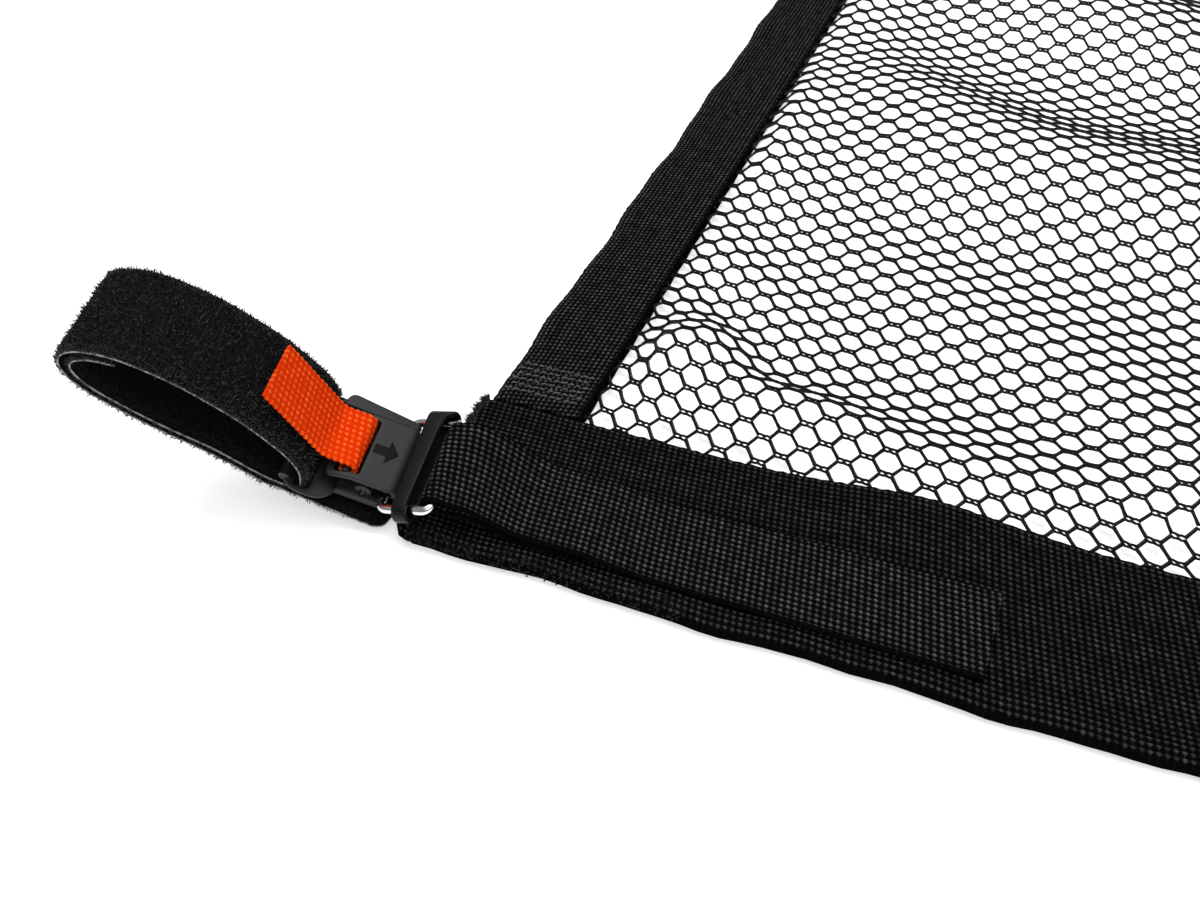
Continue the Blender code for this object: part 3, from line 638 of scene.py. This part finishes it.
def colour(name, code, text):
    """Colour setting, given as sRGB hex."""
    return FloatVectorProperty(name=name, description=text, subtype="COLOR", size=3, min=0, max=1,
                               default=linear(code))


def length(name, value, text):
    """Length setting, given in millimetres."""
    return FloatProperty(name=name, description=text, default=value * MM, unit="LENGTH",
                         precision=5)


class NetLook(bpy.types.PropertyGroup):
    """Knitted net"""
    yarn_width: length("Yarn width", 1.02, "Width of one yarn between links")
    pair_gap: length("Pair spacing", 1.12, "Between the centres of the two yarns at a link")
    link_share: FloatProperty(name="Link length", description="Half a link, as a share of a column",
                              default=0.31, subtype="FACTOR", min=0.1, max=0.4)
    dark: colour("Yarn, dark", "#0c0c0e", "Yarn in its hollows")
    light: colour("Yarn, light", "#1d1d20", "Yarn on its crowns")


class WebbingLook(bpy.types.PropertyGroup):
    """Border tapes, anchor straps and their stitching"""
    pitch: length("Crown pitch", 1.45, "Between woven crowns, across the strap")
    row: length("Row spacing", 1.6, "Between rows of crowns, along the strap")
    relief: length("Relief", 0.42, "Height of a crown")
    stitch: length("Stitch", 2.1, "From one stitch to the next")
    # dark is the painted shade between the crowns; light and strap are the painted highlight on
    # them, strap a brighter one for the anchor straps and side tapes
    dark: colour("Webbing, dark", "#080808", "Between the crowns")
    light: colour("Webbing, light", "#3f3f3e", "On the crowns")
    strap: colour("Strap, light", "#545452", "On the crowns of the anchor straps")
    frayed: colour("Frayed end", "#1c1c1b", "Loose filaments at a cut end")
    thread: colour("Thread", "#6e6e6c", "Sewing thread")


class LatchLook(bpy.types.PropertyGroup):
    """Latch bases, levers, pins, collars and rings"""
    rim: length("Rim radius", 0.45, "Rounding along moulded edges")
    dark: colour("Moulding, dark", "#141616", "Moulded plastic, darker grain")
    light: colour("Moulding, light", "#1f2121", "Moulded plastic, lighter grain")
    collar: colour("Collar", "#080808", "Collar round the ring, in its darker grain")
    chrome: colour("Plating", "#d8d8da", "Bright plate on the ring")
    # the pin's dark grey is painted shade of the recess under the lever where it sits
    steel: colour("Pin", "#3c3c3d", "Blackened pin")


class TabLook(bpy.types.PropertyGroup):
    """Ribbon pull tabs"""
    pitch: length("Thread pitch", 1.45, "Between crowns across the ribbon")
    row: length("Row spacing", 1.6, "Between rows of crowns, along the ribbon")
    relief: length("Relief", 0.16, "Height of a crown")
    # deep is the painted shade between the threads, bright the painted highlight on them
    dark: colour("Ribbon, deep", "#d63103", "Between the threads")
    light: colour("Ribbon, bright", "#ff6e2a", "On the threads")


class PileLook(bpy.types.PropertyGroup):
    """Hook-and-loop straps"""
    fibres: IntProperty(name="Fibres", description="Loose fibres on each strap", default=14000,
                        min=0)
    fibre: length("Fibre", 1.7, "Length of a loose fibre")
    # dark is the painted shade in the pile's hollows, light the painted highlight on its tufts,
    # loose a painted sheen on the loose fibres
    dark: colour("Pile, dark", "#030303", "Pile in its hollows")
    light: colour("Pile, light", "#1b1c1e", "Pile on its tufts")
    loose: colour("Fibres, light", "#4e4f52", "Loose fibres where they catch the light")
    edge_dark: colour("Edge, dark", "#4c4d4f", "Cut edge where pile covers it")
    edge_light: colour("Edge, light", "#8e8f91", "Cut edge of the ground weave")


class StageLook(bpy.types.PropertyGroup):
    """Floor, light and camera"""
    floor: colour("Floor", "#f4f4f4", "Pale floor")
    sky: FloatProperty(name="Surround", description="Strength of the even surround", default=0.3,
                       min=0)
    key: FloatProperty(name="Key light", description="Power of the main lamp", default=24.5,
                       subtype="POWER")


class PanelOperator:
    """Builds a group of pieces from the scene's settings."""
    bl_options = {"REGISTER", "UNDO"}

    def execute(self, context):
        self.build(context.scene)
        return {"FINISHED"}


def weave(cloth):
    """Crown pitch, row spacing and relief of a cloth, in millimetres."""
    return cloth.pitch / MM, cloth.row / MM, cloth.relief / MM


def border_tape(end, level, webbing):
    """Border tape in the box of its solid, with its width and length.  The upper tape has woven
    crowns.  Both have round cut corners, scalloped edges and an uneven outer edge, where the upper
    tape is pressed down onto the lower."""
    pitch, row, relief = weave(webbing)
    low, high = (np.array(corner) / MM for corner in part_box(f"{end}_tape_{level}"))
    size, middle = high - low, (low + high) / 2
    axis = 0 if end in ("front", "back") else 1
    side = -1 if end in ("front", "left") else 1
    fine = level == "upper"
    width, run = size[1 - axis], size[axis]
    half = width / 2
    stations = np.linspace(-run / 2, run / 2, int(run / (row if fine else 3 * row)))
    section = strap_section(width, TAPE_THICK, int(width / (pitch / 4)) if fine else 6, 6)
    out, top = abs(section[:, 0]), section[:, 1] > TOP_FACE
    centre = np.tile(middle, (len(stations), 1))
    centre[:, axis] += stations
    across = np.zeros_like(centre)
    across[:, 1 - axis] = 1 if axis == 0 else -1
    up = np.tile((0.0, 0.0, 1.0), (len(stations), 1))
    crown = relief * (0.5 + 0.5 * np.cos(2 * np.pi * section[:, 0] / pitch)) * fine
    inset = np.clip((half - out) / PLAIN_EDGE, 0, 1)
    bulge = crown * inset * top - relief * 0.5 * fine * top
    corner, lobe, rim = 3.0 if axis == 0 else 0.4, 3.7, 0.85
    short = np.maximum(corner - (run / 2 - abs(stations)), 0)
    cut = corner - np.sqrt(np.maximum(corner ** 2 - short ** 2, 0))
    wavy = np.cos(2 * np.pi * stations / lobe) * (0.7 + 0.3 * np.sin(stations * 0.83))
    scallop = 1 + (out > half - rim) * 0.28 / half * wavy[:, None]
    shape = strip(centre, across, up, section, bulge, (1 - cut / half)[:, None] * scallop)
    aside, run_at, height = (shape[0][:, k] for k in (1 - axis, axis, 2))
    press_reach, wander_reach = 4.5, 18
    pressed = np.clip(1 - (half - side * (aside - middle[1 - axis])) / press_reach, 0, 1) ** 2
    height += pressed * (-1.5 if fine else 0.2)
    aside -= side * pressed * (0.1 if fine else 0.7)
    uneven = eased(1 - (half - side * (aside - middle[1 - axis])) / wander_reach)
    aside -= side * uneven * (0.6 + 0.5 * np.sin(run_at / 11) + 0.3 * np.sin(run_at / 4.7 + 1))
    if end == "front":
        height += border_lift(run_at, aside) * (1 if fine else 0.8)
    return shape[:3] + (dulled(shape[3], half, pitch),), width, run


class MESH_OT_net_border(PanelOperator, bpy.types.Operator):
    """Weave the eight border tapes"""
    bl_idname = "net_panel.border"
    bl_label = "Border tapes"

    def build(self, scene):
        webbing = scene.net_webbing
        # both looks paint highlight on the crowns and shade between them; the side tapes take the
        # brighter strap colour, a stronger painted sheen where they are seen at a grazing angle
        wide = webbing_look("polyester_tape_woven", webbing, webbing.light)
        narrow = webbing_look("polyester_side_tape_woven", webbing, webbing.strap)
        for end, look in (("front", wide), ("back", wide), ("left", narrow), ("right", narrow)):
            for level, under in (("lower", "floor"), ("upper", "mesh_net")):
                node = f"{end}_tape_{level}"
                shape, width, run = border_tape(end, level, webbing)
                made = piece(f"{node}_woven", shape, look, "panel", "webbing", [node])


class MESH_OT_net_mesh(PanelOperator, bpy.types.Operator):
    """Knit the net"""
    bl_idname = "net_panel.mesh"
    bl_label = "Net"

    def build(self, scene):
        net = scene.net_mesh
        look, shapes = yarn_look(net), net_yarns(net)
        size = np.cumsum([len(shape[1]) for shape in shapes])
        count = int(np.ceil(size[-1] / NET_PIECE_QUADS))
        part = np.minimum((size * count / size[-1]).astype(int), count - 1)
        for k in range(count):
            some = plain(merged([shape for shape, at in zip(shapes, part) if at == k]))
            made = piece(f"mesh_net_knit_{k + 1}", some, look, "panel", "net", ["mesh_net"])


class MESH_OT_net_anchors(PanelOperator, bpy.types.Operator):
    """Weave the anchor straps that hold the rings"""
    bl_idname = "net_panel.anchors"
    bl_label = "Anchor straps"

    def build(self, scene):
        webbing = scene.net_webbing
        # painted highlight on the crowns in the brighter strap colour, painted shade between them
        look = webbing_look("polyester_strap_woven", webbing, webbing.strap)
        pitch, row, relief = weave(webbing)
        wide = STRAP_WIDTH / 2
        section = strap_section(STRAP_WIDTH, TAPE_THICK, int(STRAP_WIDTH / (pitch / 4)), 14)
        top = section[:, 1] > TOP_FACE
        inset = np.clip((wide - abs(section[:, 0])) / PLAIN_EDGE, 0, 1)
        for name in CORNERS:
            level, ring, _ = corner_frames(name)
            rows = resampled(anchor_stations(level, ring), step=row / 3, soften=2.0)
            half = np.linalg.norm(rows[:, 3:6], axis=1)
            along = length_along(rows[:, :3])
            crown = pearls(along[:, None], section[None, :, 0], pitch, row)
            shape = strip(rows[:, :3], unit(rows[:, 3:6]), unit(rows[:, 6:9]), section,
                          (crown - 0.5) * relief * inset * top, (half / wide)[:, None])
            shape = shape[:3] + (dulled(shape[3], wide, pitch),)
            made = piece(f"anchor_strap_{name}_woven", shape, look, "panel", "webbing",
                         [f"anchor_strap_{name}"])


class MESH_OT_net_rings(PanelOperator, bpy.types.Operator):
    """Bend the wire rings and close the keeper collars on them"""
    bl_idname = "net_panel.rings"
    bl_label = "Rings and collars"

    def build(self, scene):
        latch = scene.net_latch
        chrome = metal_look("steel_wire_chrome_plated", latch.chrome, roughness=0.09, grain=2.0)
        nylon = moulding_look("nylon_collar_moulded", latch.collar, latch.dark,
                              roughness=0.42, specular=0.15)
        wire = box_loop(-RING_LENGTH, 0, RING_HALF, radius=2.3, side=16, turn=10)
        wrapped = BORE + 0.6
        wall = box_loop(-wrapped, wrapped, 13.1 + BORE + 0.6, radius=BORE + 0.59, side=30, turn=10)
        up = unit(np.c_[np.zeros(len(wall)), -sideways(np.c_[wall[:, 1], -wall[:, 0]], True)])
        out = np.tile((1.0, 0.0, 0.0), (len(wall), 1))
        band = pillow_section(width=3.8, thick=1.2, radius=0.35)
        for name, (end, side) in CORNERS.items():
            _, ring, _ = corner_frames(name)
            shape = tube(np.c_[wire, np.zeros(len(wire))], WIRE, sides=16, closed=True)
            piece(f"ring_{name}_wire", placed(shape, ring), chrome, f"{name}_ring", "wire",
                  [f"ring_{name}"])
            lip = eased((-end * side * wall[:, 1] - 12.4) / 2)
            path = np.c_[-RING_LENGTH / 2 - 0.2 - 1.2 * lip, wall[:, 1], -wall[:, 0]]
            wider = (1.1 - 0.12 * end * side * wall[:, 1] / 15 + 0.6 * lip)[:, None]
            shape = plain(strip(path, out, up, band, narrow=wider, closed=True))
            piece(f"keeper_collar_{name}_moulded", placed(shape, ring), nylon, f"{name}_ring",
                  "collar", [f"keeper_collar_{name}"])


def pillow_section(width, thick, radius, steps=4):
    """Rounded rectangle as a loop of (across, up), counter-clockwise."""
    x, y = width / 2 - radius, thick / 2 - radius
    return np.vstack([arc((x * a, y * b), radius, start, start + 90, steps) for a, b, start in
                      ((1, -1, -90), (1, 1, 0), (-1, 1, 90), (-1, -1, 180))])


def crossbar(u, w, half, radius, sides, count=24):
    """Round bar across the latch, from v = -half to half at (u, w)."""
    v = np.linspace(-half, half, count)
    return tube(np.c_[v * 0 + u, v, v * 0 + w], radius, sides)


class MESH_OT_net_latches(PanelOperator, bpy.types.Operator):
    """Mould the latch bases and levers, and set their pins"""
    bl_idname = "net_panel.latches"
    bl_label = "Latches"

    def base(self, lean):
        """Floor plate, forked inner rail with its flat wing, low outer rail with a post for the
        pin, slotted ear with a round bar."""
        front, rear, notch = RING_OUT - 2.4, RING_OUT - 2.4 + 19.0, WIRE + 0.3
        high = np.vstack([[(front, -3.6), (rear - 0.6, -3.6)],
                          arc((rear - 1.2, 1.6), 1.2, 0, 90, 6),
                          arc((front + 0.9, 1.9), 0.9, 90, 180, 6), [(front, notch)],
                          arc((RING_OUT, 0), notch, 90, -90, 14), [(front, -notch)]])
        low = np.vstack([[(front + 1.0, -3.7), (17.4, -3.7)], arc((16.2, -2.7), 1.2, 0, 90, 6),
                         arc((RING_OUT, 0), notch, -60, -120, 6),
                         arc((front + 1.6, -1.9), 0.6, 90, 180, 3)])
        post = np.vstack([[(8.4, -3.0), (12.6, -3.0)], arc((PIN_U, 0), 2.1, 0, 180, 14)])
        shapes = []
        for profile, spot, half in ((high, lean * 10.25, 0.75), (low, -lean * 10.4, 0.8),
                                    (post, -lean * 9.75, 0.35)):
            rail = stood(pillow(profile, -half, half, 0.25))
            rail[0][:, 1] += spot
            shapes.append(rail)
        shapes.append(pillow(box_loop(5.4, 21.5, 11.0, 1.4), PLATE_LOW, PLATE_TOP, 0.3))
        slot, ear = box_loop(SLOT_U - 1.7, BAR_FRONT, 12.9, 0.5), box_loop(16.4, 30.6, 14.5, 5.9)
        shapes.append(hoop(slot, ear, PLATE_LOW, PLATE_TOP, 0.6))
        shapes.append(crossbar(29.1, PLATE_LOW + 1.8, 12.4, radius=1.5, sides=12, count=30))
        wing = np.vstack([[(3.7, 9.5), (22.6, 9.5)], arc((20.4, 11.0), 2.2, 0, 86, 8),
                          arc((4.6, 10.7), 0.9, 94, 180, 5)])
        wing = wing if lean > 0 else (wing * (1, -1))[::-1]
        shapes.append(pillow(wing, 1.7, 2.9, 0.4))
        return merged(shapes)

    def lever(self, rim, lean):
        """Top plate with the tab's window, rolled down at its front and bent down at its rear by
        0.03 (u - 12.5) squared, with nose, boss, web and tab bar."""
        nose, front, rear, low, high = RING_OUT - WIRE - 0.3, 2.4, 20.4, 2.4, 4.0
        window = box_loop(BAR_U - 3.2, BAR_U + 2.9, 7.9, 0.8, 24)
        plate = hoop(window, box_loop(front, rear, 9.3, 1.2, 24), low, high, rim, 14)
        u, v, w = plate[0].T
        roll, start = 2.4, front + 2.1
        ahead = np.clip(start - u, 0, roll)
        w -= roll - np.sqrt(np.maximum(roll ** 2 - ahead ** 2, 0))
        w -= 0.03 * np.maximum(u - 12.5, 0) ** 2 * (0.5 + 0.5 * (w - low) / (high - low))
        v *= 1 + 0.05 * eased((u - 13) / 6)
        v -= lean * 0.4
        tip = [(front, -0.6), (nose, -0.6), (nose, 2.6), (front + 0.8, 2.6), (front, 1.4)]
        boss = arc((PIN_U, 0.2), 2.1, 0, 345, 23)
        web = [(PIN_U - 2.0, 0.3), (PIN_U + 2.0, 0.3), (PIN_U + 2.0, 2.9), (PIN_U - 2.0, 2.9)]
        solid = [stood(pillow(np.array(outline), -9.0, 9.0, 0.2)) for outline in (tip, boss, web)]
        return merged([plate, *solid, crossbar(BAR_U, BAR_W, 8.6, 1.1, sides=12, count=20)])

    def arrow(self):
        """Plain arrow towards the ring on the lever, painted dark as the shade of a debossed mark.
        """
        outline = [(5.6, 0.0), (8.4, -3.4), (8.4, -1.3), (11.8, -1.3), (11.8, 1.3), (8.4, 1.3),
                   (8.4, 3.4)]
        return pillow(np.array(outline), 3.9, 4.06, 0.04, 2)

    def build(self, scene):
        latch = scene.net_latch
        nylon = moulding_look("nylon_latch_moulded", latch.dark, latch.light,
                              roughness=0.46, specular=0.25)
        # painted shade of a debossed mark: dull and blacker than the moulding, whose grain shows
        # through
        arrow_shade = moulding_look("nylon_arrow_shaded", latch.collar, latch.collar,
                            roughness=0.6, specular=0.1)
        # pin painted dark: painted shade of the recess under the lever
        steel = metal_look("steel_pin_shaded", latch.steel, roughness=0.35, grain=0.4)
        dome = 1.1 * np.sqrt(np.clip(1 - np.linspace(-1, 1, 24) ** 24, 0.05, 1))
        for name, (end, side) in CORNERS.items():
            lean = -end * side
            spot = corner_frames(name)[2] @ np.array(Matrix.Translation((-RING_OUT, 0, 0)))
            for kind, shape, look, body, slot in (
                    ("latch_base", self.base(lean), nylon, "latch", "moulding"),
                    ("latch_lever", self.lever(latch.rim / MM, lean), nylon, "lever", "moulding"),
                    ("lever_pin", crossbar(PIN_U, 0, 10.9, dome, 16), steel, "latch", "pin")):
                piece(f"{kind}_{name}_finished", placed(plain(shape), spot), look,
                      f"{name}_{body}", slot, [f"{kind}_{name}"])
            piece(f"lever_arrow_{name}_shaded", placed(self.arrow(), spot), arrow_shade, f"{name}_lever",
                  "moulding")


class MESH_OT_net_tabs(PanelOperator, bpy.types.Operator):
    """Weave the ribbon pull tabs and fold them round their bars"""
    bl_idname = "net_panel.tabs"
    bl_label = "Pull tabs"

    def build(self, scene):
        tab = scene.net_tab
        look = ribbon_look(tab)
        pitch, row, relief = weave(tab)
        bend, climb, straight = 4.2, math.radians(48), 20.5
        fold = arc((BAR_U, BAR_W), EYELET, 325, 90, 24)
        rise = arc((BAR_U + bend, BAR_W + EYELET + bend), bend, -90, -42, 14)
        end = rise[-1] + straight * np.array((math.cos(climb), math.sin(climb)))
        route = resampled(np.vstack([fold, rise, end]), step=0.4) - (RING_OUT, 0)
        centre, across, up = strap_path(route)
        along = length_along(centre)
        section = strap_section(TAB_WIDTH, thick=1.2, top=40, bottom=40)
        out, face = abs(section[:, 0]), abs(section[:, 1]) > 0.5
        inset = np.clip((TAB_WIDTH / 2 - out) / 0.6, 0, 1)
        bulge = ((pearls(along[:, None], section[None, :, 0], pitch, row) - 0.5) * relief * inset
                 * np.sign(section[:, 1]) * face)
        scallop = 1 + (out > 7) * (0.02 * np.cos(2 * np.pi * along / row))[:, None]
        shape = strip(centre, across, up, section, bulge, scallop)
        for name in CORNERS:
            _, _, spot = corner_frames(name)
            made = piece(f"pull_tab_{name}_ribbon", placed(shape, spot), look, f"{name}_tab", "tab",
                         [f"pull_tab_{name}"])


class MESH_OT_net_straps(PanelOperator, bpy.types.Operator):
    """Lay the hook-and-loop straps, with loose fibres and cut edges"""
    bl_idname = "net_panel.straps"
    bl_label = "Hook-and-loop straps"

    def build(self, scene):
        pile = scene.net_pile
        count, wide = pile.fibres, STRAP_WIDTH / 2
        # pile with painted shade in its gaps and painted highlight on its tufts; loose fibres
        # lighter still, a painted sheen where they catch the light
        nap, cut = pile_look("nylon_pile_brushed", pile.dark, pile.light), edge_look(pile)
        loose = pile_look("nylon_fibre_loose", pile.light, pile.loose)
        route = resampled(loop_route(), step=0.75, soften=3.0)
        centre, across, up = strap_path(route)
        along = length_along(centre)
        side = np.linspace(-wide, wide, 36)
        half = 0.25 + (LOOP_THICK / 2 - 0.25) * eased((wide - abs(side)) / 2.8)
        section = np.vstack([np.c_[side, -half], np.c_[side, half][::-1]])
        v, face = section[:, 0], np.sign(section[:, 1])
        outer = np.sign(np.sum((centre - centre.mean(0)) * up, 1))
        rims, rim_share, bare, thin = np.flatnonzero(abs(v) > 11), 0.45, 9, 0.18
        rng = np.random.default_rng(7)
        grain = rng.uniform(-0.2, 0.2, (len(centre), len(section))) * face * (abs(v) < 12.4)
        corner = 4.0
        tail = np.clip(1 - np.minimum(along, along[-1] - along + 3) / corner, 0, 1)
        narrow = 1 - (corner / wide * (1 - np.sqrt(1 - tail ** 2)))[:, None]
        aside = np.where(along < 40, eased((32 - RING_OUT - centre[:, 0]) / 28), 0)[:, None]
        for name, (end, lie) in CORNERS.items():
            _, _, spot = corner_frames(name)
            middle = centre + across * aside * (1.2 * end * lie)
            body = strip(middle, across, up, section, grain, narrow)
            width = (wide + 0.1) * narrow
            edges = merged([tube(middle + across * sign * width, radius=0.22, sides=6,
                                 up=(0.0, 1.0, 0.0))
                            for sign in (1, -1)])
            points = body[0].reshape(len(centre), len(section), 3)
            i = rng.integers(np.searchsorted(along, bare), len(centre) - 1, count)
            k = np.where(rng.random(count) < rim_share, rng.choice(rims, count),
                         rng.integers(0, len(section), count))
            k = np.where(section[k, 1] * outer[i] < 0, len(section) - 1 - k, k)
            reach = v[k] * (abs(v[k]) > 11.3) * 0.03
            out = unit(face[k][:, None] * up[i] + across[i] * reach[:, None])
            lean = rng.normal(0, 0.5, (count, 3))
            size = pile.fibre / MM * rng.uniform(0.4, 1.0, (count, 1))
            root = points[i, k] - out * 0.15
            fuzz = fibres(root, root + unit(out + lean) * size, thin)
            node, rides = f"hook_loop_strap_{name}", (f"{name}_latch", "pile")
            made = piece(f"{node}_pile", placed(body, spot), nap, *rides, [node])
            edge = piece(f"{node}_edge", placed(plain(edges), spot), cut, *rides)
            hair = piece(f"{node}_fibres", placed(fuzz, spot), loose, *rides)


def fibres(root, tip, radius):
    """Hairs as three-sided cones: a small triangle square to the hair at its root, and its tip."""
    way = unit(tip - root)
    side = unit(np.cross(way, np.roll(way, 1, 1) + (0.3, 0.1, 0.7)))
    turn = np.radians((90, 210, 330))[None, :, None]
    ring = root[:, None] + radius * (np.cos(turn) * side[:, None]
                                     + np.sin(turn) * np.cross(way, side)[:, None])
    points = np.concatenate([ring, tip[:, None]], 1).reshape(-1, 3)
    faces = np.array([(0, 1, 3), (1, 2, 3), (2, 0, 3), (2, 1, 0)])
    return points, (np.arange(len(root))[:, None, None] * 4 + faces).reshape(-1, 3), [], None


def frayed(rng, end, side, count=900):
    """Roots and tips of the loose filaments at a wide border's cut end, and of the shorter ones
    along its outer edge, which thin out away from the corner by a squared draw."""
    level = np.full(count, end * 1.0)
    root = np.c_[level * 299.0, side * rng.uniform(198.4, 210, count), rng.uniform(0.6, 4.8, count)]
    way = unit(np.c_[level, rng.normal(-0.3 * side, 0.8, count), rng.normal(0.3, 0.7, count)])
    tip = root + way * rng.uniform(0.8, 3.4, (count, 1))
    out = rng.uniform(0, 5, count)
    rough = np.c_[end * (296 - 70 * rng.random(count) ** 2), side * (245 + out),
                  4.3 - 1.5 * (out / 5) ** 2]
    way = unit(np.c_[rng.normal(0, 0.8, count), side * rng.normal(0.3, 0.7, count),
                     rng.uniform(0.2, 1, count)])
    tip = np.vstack([tip, rough + way * rng.uniform(0.3, 1.1, (count, 1))])
    tip[:, 2] = np.maximum(tip[:, 2], 0.1)
    return np.vstack([root, rough]), tip


class MESH_OT_net_stitches(PanelOperator, bpy.types.Operator):
    """Sew the side tapes down beside the wide borders, and fray the ends of those borders"""
    bl_idname = "net_panel.stitches"
    bl_label = "Stitching and cut ends"

    def build(self, scene):
        webbing = scene.net_webbing
        thread = thread_look(webbing)
        look = webbing_look("polyester_tape_frayed", webbing, webbing.frayed)
        bend = np.linspace(-1, 1, 5)
        rng = np.random.default_rng(3)
        for name, (end, side) in CORNERS.items():
            shapes = []
            for line, at in enumerate(np.linspace(181.5, 192.5, 6)):
                for across in np.arange(276.5, 297.0, webbing.stitch / MM) + 0.6 * (line % 2):
                    path = np.c_[end * (across + 0.75 * bend), side * (at + 0.25 * bend),
                                 4.75 - 0.45 * bend ** 2]
                    shapes.append(tube(path, radius=0.24, sides=6))
            piece(f"stitches_{name}", plain(merged(shapes)), thread, "panel", "webbing")
            piece(f"frayed_end_{name}", fibres(*frayed(rng, end, side), radius=0.35), look,
                  "panel", "webbing")


class SCENE_OT_net_stage(PanelOperator, bpy.types.Operator):
    """Set the floor, the soft light and the camera"""
    bl_idname = "net_panel.stage"
    bl_label = "Stage"

    def build(self, scene):
        stage = scene.net_stage
        size, level = 20.0, -0.0004
        mesh = bpy.data.meshes.new("floor")
        square = ((-1, -1), (1, -1), (1, 1), (-1, 1))
        mesh.from_pydata([(size * x, size * y, level) for x, y in square], [], [(0, 1, 2, 3)])
        # matt paint that also glows a little, so that the floor is as even and white as the photo's
        look, _, _ = surface("painted_board_pale", Base_Color=stage.floor, Roughness=0.9,
                             Emission_Color=stage.floor, Emission_Strength=0.57)
        mesh.materials.append(look)
        floor = bpy.data.objects.new("floor", mesh)
        scene.collection.objects.link(floor)
        world = bpy.data.worlds.new("surround")
        world.use_nodes = True
        surround = world.node_tree.nodes["Background"]
        surround.inputs["Color"].default_value = (1, 1, 1, 1)
        surround.inputs["Strength"].default_value = stage.sky
        scene.world = world
        for title, place, aim, power in (
                ("key", (-0.5, 0.15, 1.7), (-0.25, -0.15, 0), stage.key),
                ("fill", (0.5, -0.8, 1.3), (-0.2, -0.15, 0), stage.key * 0.45)):
            lamp = bpy.data.lights.new(title, "AREA")
            lamp.energy, lamp.size = power, 1.4
            made = bpy.data.objects.new(title, lamp)
            made.location = place
            made.rotation_euler = Matrix(look_along(np.array(aim) - place)).to_euler()
            scene.collection.objects.link(made)
        scene.view_settings.view_transform = "Standard"
        camera = bpy.data.cameras.new("camera")
        camera.sensor_width, camera.lens, camera.clip_start = 36.0, 36.0, 0.01
        made = bpy.data.objects.new("camera", camera)
        made.matrix_world = Matrix(((0.92381, -0.24400, 0.29501, -0.173535),
                                    (0.38167, 0.64720, -0.65990, -0.408317),
                                    (-0.02991, 0.72222, 0.69102, 0.213620), (0, 0, 0, 1)))
        scene.collection.objects.link(made)
        scene.camera = made


def look_along(way):
    """Turn whose -Z axis points along way."""
    back = -unit(np.array(way, float))
    side = unit(np.cross((0.0, 1.0, 0.1), back))
    return np.stack([side, np.cross(back, side), back], 1).tolist()


class VIEW3D_PT_net_panel(bpy.types.Panel):
    """Sidebar list of the pieces"""
    bl_label = "Mesh net panel"
    bl_space_type, bl_region_type, bl_category = "VIEW_3D", "UI", "Net panel"

    def draw(self, context):
        for operator in OPERATORS:
            self.layout.operator(operator.bl_idname)
        for store, _ in STORES:
            group = getattr(context.scene, store)
            box = self.layout.box()
            for key in group.bl_rna.properties.keys()[2:]:
                box.prop(group, key)


STORES = (("net_mesh", NetLook), ("net_webbing", WebbingLook), ("net_latch", LatchLook),
          ("net_tab", TabLook), ("net_pile", PileLook), ("net_stage", StageLook))
OPERATORS = (MESH_OT_net_border, MESH_OT_net_mesh, MESH_OT_net_anchors, MESH_OT_net_rings,
             MESH_OT_net_latches, MESH_OT_net_tabs, MESH_OT_net_straps, MESH_OT_net_stitches,
             SCENE_OT_net_stage)
CLASSES = (*(group for _, group in STORES), *OPERATORS, VIEW3D_PT_net_panel)


def register():
    for kind in CLASSES:
        bpy.utils.register_class(kind)
    for store, group in STORES:
        setattr(bpy.types.Scene, store, PointerProperty(type=group))


def unregister():
    for store, _ in STORES:
        delattr(bpy.types.Scene, store)
    for kind in reversed(CLASSES):
        bpy.utils.unregister_class(kind)


def main():
    """Builds every piece in order."""
    register()
    for operator in OPERATORS:
        group, name = operator.bl_idname.split(".")
        getattr(getattr(bpy.ops, group), name)()


if __name__ == "__main__":
    main()
